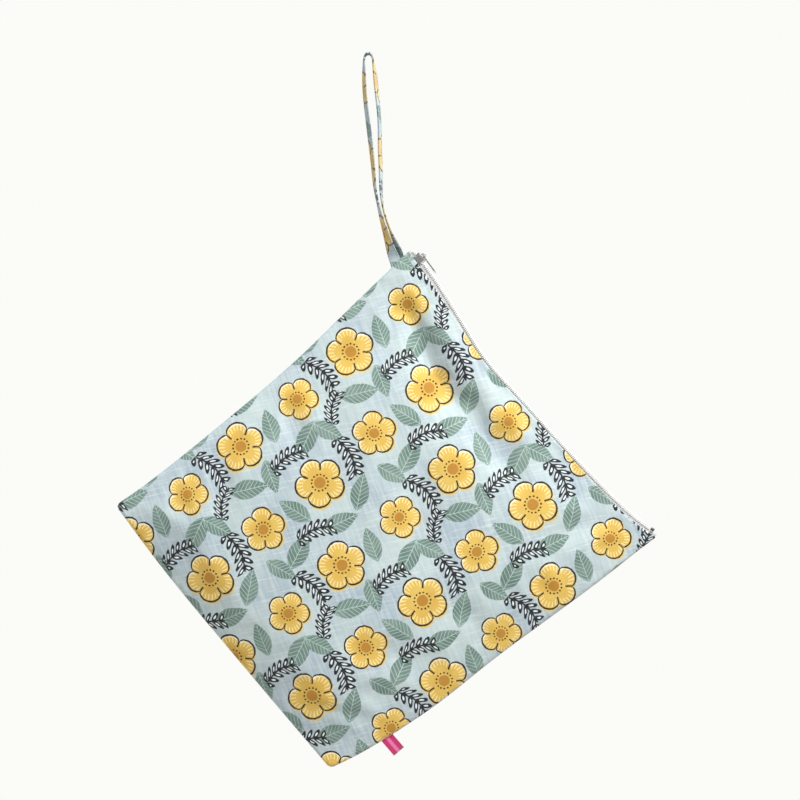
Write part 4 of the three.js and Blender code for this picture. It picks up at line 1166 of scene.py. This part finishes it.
LABEL_WIDTH = 0.0102
LABEL_PLY = 0.00035
# The painted highlight along the ribbon's middle: its half-width, and the width of its soft edge
HIGHLIGHT_HALF = 0.0011
HIGHLIGHT_EDGE = 0.0005

# How far each ply's middle is from the label's own middle, at the seam and halfway out
PLY_OUT_AT_SEAM = 0.00028
PLY_OUT_HALFWAY = 0.00034

# The steps round the label's fold and across its ribbon
FOLD_STEPS = 8
CROSS_STEPS = 12

label_places = bag_places(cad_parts["side_label"].data)
label_from = label_places.min(0)
label_to = label_places.max(0)
fold_radius = (label_to[1] - label_from[1]) / 2 - LABEL_PLY / 2
fold_at = label_to[0] - fold_radius - LABEL_PLY / 2
halfway = (label_from[0] + fold_at) / 2
route = [(label_from[0], -PLY_OUT_AT_SEAM), (halfway, -PLY_OUT_HALFWAY)]
for step in range(FOLD_STEPS + 1):
    angle = -math.pi / 2 + math.pi * step / FOLD_STEPS
    route.append((fold_at + fold_radius * math.cos(angle), fold_radius * math.sin(angle)))
route += [(halfway, PLY_OUT_HALFWAY), (label_from[0], PLY_OUT_AT_SEAM)]
label_points = []
for out, thick in route:
    for step in range(CROSS_STEPS + 1):
        share = step / CROSS_STEPS
        height = label_from[2] + share * (label_to[2] - label_from[2])
        label_points.append(bag_to_world @ Vector((out, thick, height)))
label_faces = []
columns = CROSS_STEPS + 1
for row in range(len(route) - 1):
    for step in range(CROSS_STEPS):
        here = row * columns + step
        label_faces.append((here, here + 1, here + 1 + columns, here + columns))
label_mesh = bpy.data.meshes.new("ribbon_label")
label_mesh.from_pydata([tuple(point) for point in label_points], [], label_faces)
label = bpy.data.objects.new("ribbon_label", label_mesh)
bpy.context.scene.collection.objects.link(label)
label_map = label_mesh.uv_layers.new(name="ribbon_in_metres")
run = np.concatenate([[0], np.cumsum(np.linalg.norm(np.diff(np.array(route), axis=0), axis=1))])
for face in label_mesh.polygons:
    for loop in face.loop_indices:
        row, step = divmod(label_mesh.loops[loop].vertex_index, columns)
        label_map.data[loop].uv = (run[row], step / CROSS_STEPS * LABEL_WIDTH)
ply = label.modifiers.new("ply", "SOLIDIFY")
ply.thickness = LABEL_PLY
ply.offset = 0
apply_modifiers(label)
only(label)
bpy.ops.object.shade_smooth_by_angle(angle=math.radians(40))

# Polyester satin, dyed magenta, over yarns 0.35 mm apart. A paler band along its middle is a painted
# highlight, a soft band of shine put into the colour.
satin, tree = new_material("magenta_polyester_satin")
ribbon = add(tree, "ShaderNodeUVMap", {"uv_map": "ribbon_in_metres"}).outputs["UV"]
parts = add(tree, "ShaderNodeSeparateXYZ", inputs={0: ribbon})
from_middle = add(tree, "ShaderNodeMath", {"operation": "SUBTRACT"}, {
    0: parts.outputs["Y"], 1: LABEL_WIDTH / 2,
}).outputs[0]
from_middle = add(tree, "ShaderNodeMath", {"operation": "ABSOLUTE"}, {0: from_middle}).outputs[0]
# Painted highlight: a paler band along the ribbon's middle
painted_highlight = add(tree, "ShaderNodeMapRange", inputs={
    "Value": from_middle, "From Min": HIGHLIGHT_HALF, "From Max": HIGHLIGHT_HALF + HIGHLIGHT_EDGE,
    "To Min": 1.0, "To Max": 0.0,
}).outputs[0]
mm = add(tree, "ShaderNodeVectorMath", {"operation": "SCALE"}, {
    0: ribbon, "Scale": 1000.0,
}).outputs[0]
floats = add(tree, "ShaderNodeTexWave", {"bands_direction": "Y"}, {
    "Vector": mm, "Scale": 0.9, "Distortion": 1.0,
}).outputs[1]
pink = add(tree, "ShaderNodeMix", {"data_type": "RGBA"}, {
    0: floats, 6: linear("#99124B"), 7: linear("#B82262"),
}).outputs[2]
# The painted highlight's paler pink
pink = add(tree, "ShaderNodeMix", {"data_type": "RGBA"}, {
    0: painted_highlight, 6: pink, 7: linear("#CC6191"),
}).outputs[2]
bump = add(tree, "ShaderNodeBump", inputs={
    "Height": floats, "Strength": 0.4, "Distance": 0.00008,
}).outputs[0]
shader = add(tree, "ShaderNodeBsdfPrincipled", inputs={
    "Base Color": pink, "Roughness": 0.42, "IOR": 1.5, "Sheen Weight": 0.2, "Normal": bump,
})
add(tree, "ShaderNodeOutputMaterial", inputs={"Surface": shader.outputs[0]})
label.data.materials.append(satin)
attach(label, "bag")
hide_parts("side_label")


# Floor, light and camera. A plain pale floor well below the hanging bag, soft light from all round
# with a large lamp at the upper right and two faint ones, at the left and behind. The camera is
# straight in front.

FLOOR_SIZE = 2.6
FLOOR_PLACE = (0, -0.3, -0.9)
BAG_MIDDLE = Vector((0.02, 0, -0.35))
CAMERA_DISTANCE = 1.5
CAMERA_PLACE = (0.025, -CAMERA_DISTANCE, -0.2741)
PICTURE_WIDTH = 0.632
SENSOR_WIDTH = 36

bpy.ops.object.select_all(action="DESELECT")
bpy.ops.mesh.primitive_plane_add(size=FLOOR_SIZE, location=FLOOR_PLACE)
floor = bpy.context.active_object
floor.name = "studio_floor"

# Matt emulsion, rolled on: pale, with wide patches that are a little darker
floor_paint, tree = new_material("matt_pale_floor_paint")
place = add(tree, "ShaderNodeTexCoord").outputs["Object"]
patches = add(tree, "ShaderNodeTexNoise", inputs={
    "Vector": place, "Scale": 3.0, "Detail": 2.0,
}).outputs[0]
pale = add(tree, "ShaderNodeMix", {"data_type": "RGBA"}, {
    0: patches, 6: linear("#BEBDBA"), 7: linear("#C6C5C2"),
}).outputs[2]
shader = add(tree, "ShaderNodeBsdfPrincipled", inputs={"Base Color": pale, "Roughness": 0.9})
add(tree, "ShaderNodeOutputMaterial", inputs={"Surface": shader.outputs[0]})
floor.data.materials.append(floor_paint)

world = bpy.data.worlds.new("pale_studio")
bpy.context.scene.world = world
world.use_nodes = True
world.node_tree.nodes.clear()
# The studio is lighter behind the bag than in front of it
outward = add(world.node_tree, "ShaderNodeTexCoord").outputs["Generated"]
outward = add(world.node_tree, "ShaderNodeSeparateXYZ", inputs={0: outward}).outputs["Y"]
strength = add(world.node_tree, "ShaderNodeMapRange", inputs={
    "Value": outward, "From Min": -0.25, "From Max": 0.9, "To Min": 0.36, "To Max": 1.0,
}).outputs[0]
background = add(world.node_tree, "ShaderNodeBackground", inputs={
    "Color": linear("#FBFBF8"), "Strength": strength,
})
add(world.node_tree, "ShaderNodeOutputWorld", inputs={"Surface": background.outputs[0]})

for name, place, size, power in (
    ("key_lamp", Vector((1.25, -1.2, 1.5)), 0.5, 110.0),
    ("left_lamp", Vector((-1.6, -1.0, 0.2)), 0.8, 12.0),
    ("back_lamp", Vector((0.3, 1.3, 0.5)), 1.0, 9.0),
):
    lamp_data = bpy.data.lights.new(name, "AREA")
    lamp_data.energy = power
    lamp_data.size = size
    lamp = bpy.data.objects.new(name, lamp_data)
    lamp.location = place
    lamp.rotation_euler = (BAG_MIDDLE - place).to_track_quat("-Z", "Y").to_euler()
    bpy.context.scene.collection.objects.link(lamp)

bpy.context.scene.view_settings.view_transform = "Standard"

camera_data = bpy.data.cameras.new("camera")
camera_data.sensor_width = SENSOR_WIDTH
camera_data.lens = SENSOR_WIDTH * CAMERA_DISTANCE / PICTURE_WIDTH
camera = bpy.data.objects.new("camera", camera_data)
camera.location = CAMERA_PLACE
camera.rotation_euler = (math.radians(90), 0, 0)
bpy.context.scene.collection.objects.link(camera)
bpy.context.scene.camera = camera
